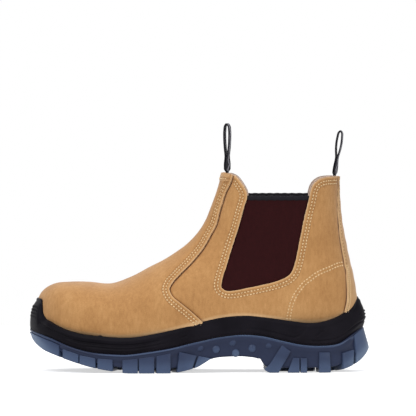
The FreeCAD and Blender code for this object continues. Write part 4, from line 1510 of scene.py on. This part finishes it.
def sewn_row(line, surface, distance, side_line, sign, keep, pitch=STITCH_PITCH):
    """Pairs of places, one for each stitch, along a line moved over a panel to one side of it."""
    moved = []
    for before, place, after in zip(line, line[1:], line[2:]):
        spot, normal, face, gap = surface.find_nearest(place)
        sideways = normal.cross(after - before).normalized() * distance
        if side_line.value(spot + sideways) * sign < side_line.value(spot - sideways) * sign:
            sideways = -sideways
        moved.append(surface.find_nearest(spot + sideways)[0])
    moved = even(moved, pitch)
    return [(first, second) for first, second in zip(moved, moved[1:]) if keep(first) and keep(second)]


def add_stitches(bm, pairs, surface, long=2.1, wide=1.2, turn=0.0):
    """Lays a bar over each pair of places, on the surface."""
    for first, second in pairs:
        middle, normal, face, gap = surface.find_nearest((first + second) / 2)
        if normal.dot(FORM.find_nearest(middle)[1]) < 0:
            normal = -normal
        along = second - first
        along = (along - normal * along.dot(normal)).normalized()
        across = normal.cross(along)
        along, across = (along * math.cos(turn) + across * math.sin(turn),
                         across * math.cos(turn) - along * math.sin(turn))
        rows = []
        for share, thick in ((-1, .3), (-.72, .85), (0, 1), (.72, .85), (1, .3)):
            row = []
            for step in range(6):
                angle = math.tau * step / 6
                rise = math.sin(angle) * thick * wide * .38 + .12 - .4 * share * share
                row.append(middle + (along * (share * long / 2) + normal * rise
                                     + across * (math.cos(angle) * thick * wide / 2)) * MM)
            rows.append([bm.verts.new(spot) for spot in row])
        for low, high in zip(rows, rows[1:]):
            for step in range(6):
                bm.faces.new((low[step], low[(step + 1) % 6], high[(step + 1) % 6], high[step]))
        bm.faces.new(rows[0][::-1])
        bm.faces.new(rows[-1])


# %% Sew both sides
def on_form(place):
    return place.z > 40 * MM


counter_stitch = SideLine(COUNTER_STITCH)
vamp_surface, backstay_surface, facing_surface = (surface_of(piece) for piece in (vamp, backstay, facing))
for side, sign in SIDES.items():
    quarter_surface = surface_of(quarters[side])
    bm = bmesh.new()
    for offset in ROW_OFFSETS:
        row = sewn_row(laid_vamp[side], vamp_surface, offset, vamp_seam, -1, lambda spot: spot.z < 173 * MM)
        add_stitches(bm, row, vamp_surface)
        row = sewn_row(laid_opening[side], quarter_surface, offset, opening, -1,
                       lambda spot: vamp_seam.value(spot) > MM and backstay_seam.value(spot) < -MM)
        add_stitches(bm, row, quarter_surface)
    laid_counter = lay_on_form(counter_stitch, sign, keep=on_form)
    for way in (-1, 1):
        row = sewn_row(laid_counter, quarter_surface, 1.5 * MM, counter_stitch, way,
                       lambda spot: backstay_seam.value(spot) < 0)
        add_stitches(bm, row, quarter_surface)
    row = sewn_row(laid_backstay[side], backstay_surface, 2.2 * MM, backstay_seam, 1,
                   lambda spot: spot.z > 99 * MM)
    add_stitches(bm, row, backstay_surface, wide=.95)
    for offset, turn in ((1.9, .65), (4.0, -.65)):
        row = sewn_row(laid_backstay[side], backstay_surface, offset * MM, backstay_seam, 1,
                       lambda spot: spot.z < 99 * MM, 1.9 * MM)
        add_stitches(bm, row, backstay_surface, long=2.5, wide=1.0, turn=turn)
    finish_piece(side + "_stitching", bm, THREAD, "boot", ())

# %% Sew the facing
places = []
for step in range(61):
    y = (step - 30) * 0.9 * MM
    height = FACING_LOW + 2.0 * MM + 0.7 * MM * math.sin(y / MM * .11)
    place = FORM.ray_cast(Vector((-.05, y, height)), Vector((1, 0, 0)))[0]
    if place is not None and vamp_seam.value(place) < -3 * MM:
        places.append(place)
places = even(places, STITCH_PITCH)
bm = bmesh.new()
add_stitches(bm, list(zip(places, places[1:])), facing_surface)
finish_piece("facing_stitching", bm, THREAD, "boot", ())

# %% [markdown]
# ## Pull loops
# Each pull loop is one length of flat webbing. Its two ends are sewn in behind the tab, the plies run
# up together, and the middle opens into an eye. We draw the strip's path from the side, give it a
# thin rounded section, and twist it a little above the fold line, where the rear loop also tilts.

# %% Webbing finish
def make_webbing():
    """Black ribbed webbing with a generic pale woven zigzag along its middle."""
    material, tree, shader, place = new_finish("black_webbing", 0.72)
    shader.inputs["Specular IOR Level"].default_value = 0.12
    run, across = seam_mask(tree, "strip_run"), seam_mask(tree, "strip_across")
    ribs = maths(tree, "SINE", maths(tree, "MULTIPLY", run, math.tau / 0.9))
    cords = maths(tree, "SINE", maths(tree, "MULTIPLY", across, math.tau / 1.1))
    fuzz = group_node(tree, FIBRE, place, Fibre_Size=0.4)
    zigzag = maths(tree, "SUBTRACT", maths(tree, "PINGPONG", run, 5.0), 2.5)
    off = maths(tree, "ABSOLUTE", maths(tree, "SUBTRACT", across, zigzag))
    dash = maths(tree, "LESS_THAN", off, 1.5)
    ground = ramp(tree, maths(tree, "MULTIPLY_ADD", ribs, 0.2, fuzz.outputs["Fibre"]),
                  (0.3, srgb(14, 13, 17)), (0.8, srgb(52, 51, 60)))
    pale = ramp(tree, fuzz.outputs["Fibre"], (0.35, srgb(120, 118, 130)), (0.65, srgb(190, 188, 198)))
    tree.links.new(mix(tree, dash, ground, pale), shader.inputs["Base Color"])
    tree.links.new(maths(tree, "MULTIPLY_ADD", fuzz.outputs["Fibre"], 0.2, 0.62), shader.inputs["Roughness"])
    height = maths(tree, "MULTIPLY_ADD", ribs, 0.6, maths(tree, "MULTIPLY", cords, 0.4))
    bump(tree, shader, height, 0.18 * MM, 0.8)
    return material


WEBBING = make_webbing()

# %% Webbing strips
STRIP_THICK = 1.2 * MM
STRIP_WIDE = 14 * MM
TAIL = -13


def webbing_strip(name, joint_name, half_path, lean, twist, nodes):
    """A strip along a path of (across, up) in mm from the fold line; half of it is mirrored."""
    joint = next(joint for joint in frame["joints"] if joint["name"] == joint_name)
    hinge = Vector(joint["pos_m"])
    whole = half_path + [(-across, up) for across, up in half_path[-2::-1]]
    line = spaced([Vector((across, 0, up)) * MM for across, up in whole], 0.9 * MM)
    bm = bmesh.new()
    run_layer, across_layer = (bm.verts.layers.float.new(label) for label in ("strip_run", "strip_across"))
    rows, run = [], 0.0
    for index, place in enumerate(line):
        along = line[min(index + 1, len(line) - 1)] - line[max(index - 1, 0)]
        out = Vector((along.z, 0, -along.x)).normalized()
        run += (place - line[max(index - 1, 0)]).length / MM
        height = place.z / MM
        turn = math.radians(twist) * ease(height, -2, 2) * (1 - .5 * ease(height, 5, 15))
        tilt = math.radians(lean) * ease(height, -3, 3)
        row = []
        for step in range(20):
            angle = math.tau * step / 20
            wide = math.copysign(abs(math.cos(angle)) ** .3, math.cos(angle)) * STRIP_WIDE / 2
            thick = math.copysign(abs(math.sin(angle)) ** .8, math.sin(angle)) * STRIP_THICK / 2
            spot = place + out * thick
            x = spot.x * math.cos(turn) + wide * math.sin(turn)
            y = wide * math.cos(turn) - spot.x * math.sin(turn)
            vert = bm.verts.new(hinge + Vector((x * math.cos(tilt) + spot.z * math.sin(tilt), y,
                                                spot.z * math.cos(tilt) - x * math.sin(tilt))))
            vert[run_layer], vert[across_layer] = run, wide / MM
            row.append(vert)
        rows.append(row)
    for low, high in zip(rows, rows[1:]):
        for step in range(20):
            bm.faces.new((low[step], low[(step + 1) % 20], high[(step + 1) % 20], high[step]))
    bm.faces.new(rows[0][::-1])
    bm.faces.new(rows[-1])
    strip = finish_piece(name, bm, WEBBING, None, nodes)
    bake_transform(strip)


webbing_strip("front_webbing_loop", "front_loop_fold",
              [(-.7, TAIL), (-.7, 0), (-.75, 7), (-1.0, 13), (-1.8, 21), (-2.3, 30), (-2.2, 37),
               (-1.4, 41.6), (0, 43.2)],
              0, 19, ("front_pull_loop", "front_loop_tail"))
webbing_strip("rear_webbing_loop", "rear_loop_fold",
              [(-.7, TAIL), (-.7, 0), (-.7, 10), (-.8, 16), (-1.8, 22), (-2.3, 28), (-2.1, 34),
               (-1.3, 38.6), (0, 40.0)],
              8, 13, ("rear_pull_loop", "rear_loop_tail"))

# %% [markdown]
# ## The loose footbed
# The footbed is a soft cushion that lies on the insole board and reaches the lining all round. Its
# edge is found by casting rays from the middle of the boot to the foot form.

# %% Footbed
KNIT = make_tape("footbed_knit", srgb(40, 42, 50), srgb(92, 95, 106), 1.5)
bed_rows = []
for step in range(92):
    x = (-140.2 + 272.6 * step / 91) * MM
    height = bottom_line(x) + 7.4 * MM
    reach = []
    for way in (-1, 1):
        hit = FORM.ray_cast(Vector((x, 2 * MM, height)), Vector((0, way, 0)))
        reach.append(hit[0].y - way * 4.6 * MM)
    middle, half = sum(reach) / 2, max(2 * MM, (reach[1] - reach[0]) / 2)
    end = math.sqrt(max(0.04, 1 - max(0, (abs(step - 45.5) - 42) / 3.6) ** 2))
    row = []
    for turn in range(40):
        angle = math.tau * turn / 40
        share = math.copysign(abs(math.cos(angle)) ** .6, math.cos(angle))
        rise = math.copysign(abs(math.sin(angle)) ** .6, math.sin(angle)) * 2.7 * MM
        cup = 2.2 * MM * abs(share) ** 3 * ease(x, 20 * MM, 90 * MM)
        cup += .5 * ripple(Vector((x, share * half, 0)))
        row.append(Vector((x, middle + half * share * end, height + rise * end + (cup if rise > 0 else 0))))
    bed_rows.append(row)
bed_bm = bmesh.new()
loft(bed_bm, bed_rows)
bmesh.ops.holes_fill(bed_bm, edges=[edge for edge in bed_bm.edges if edge.is_boundary], sides=0)
footbed = finish_piece("footbed_cushion", bed_bm, KNIT, "footbed", ("footbed_foam", "footbed_cover"))

# %% [markdown]
# ## Parts inside the boot
# The steel cap, its soft edge, the heel stiffener, the insole board and the shank stay as the solids
# of the frame. They only need finishes.

# %% Finishes for the parts inside
def plain_finish(name, dark, light, roughness, metallic=0.0, size=0.6):
    """A worked surface: patches of tone, a fine grain and a slightly uneven shine."""
    material, tree, shader, place = new_finish(name, roughness, Metallic=metallic)
    grain = group_node(tree, FIBRE, place, Fibre_Size=size)
    tone = maths(tree, "MULTIPLY_ADD", grain.outputs["Patch"], 0.6,
                 maths(tree, "MULTIPLY", grain.outputs["Fibre"], 0.4))
    tree.links.new(ramp(tree, tone, (0.35, dark), (0.65, light)), shader.inputs["Base Color"])
    rough = maths(tree, "MULTIPLY_ADD", grain.outputs["Fibre"], 0.25, roughness - 0.12)
    tree.links.new(rough, shader.inputs["Roughness"])
    bump(tree, shader, grain.outputs["Height"], 0.15 * MM, 0.5)
    return material


INSIDE = {
    "toe_cap": plain_finish("painted_steel", srgb(120, 122, 126), srgb(160, 163, 168), 0.38, 0.8, 1.0),
    "shank": plain_finish("spring_steel", srgb(110, 114, 122), srgb(150, 155, 164), 0.35, 0.9, 1.2),
    "toe_cap_edge_trim": plain_finish("edge_foam", srgb(30, 29, 32), srgb(50, 49, 53), 0.8),
    "heel_counter": plain_finish("counter_board", srgb(172, 160, 138), srgb(200, 190, 168), 0.6),
    "insole_board": plain_finish("insole_fibre", srgb(166, 154, 132), srgb(196, 186, 164), 0.85, 0.0, 0.9),
}
for node, finish in INSIDE.items():
    for place in frame["nodes"][node].material_slots:
        place.link = "OBJECT"
        place.material = finish
print("finishes inside:", len(INSIDE))
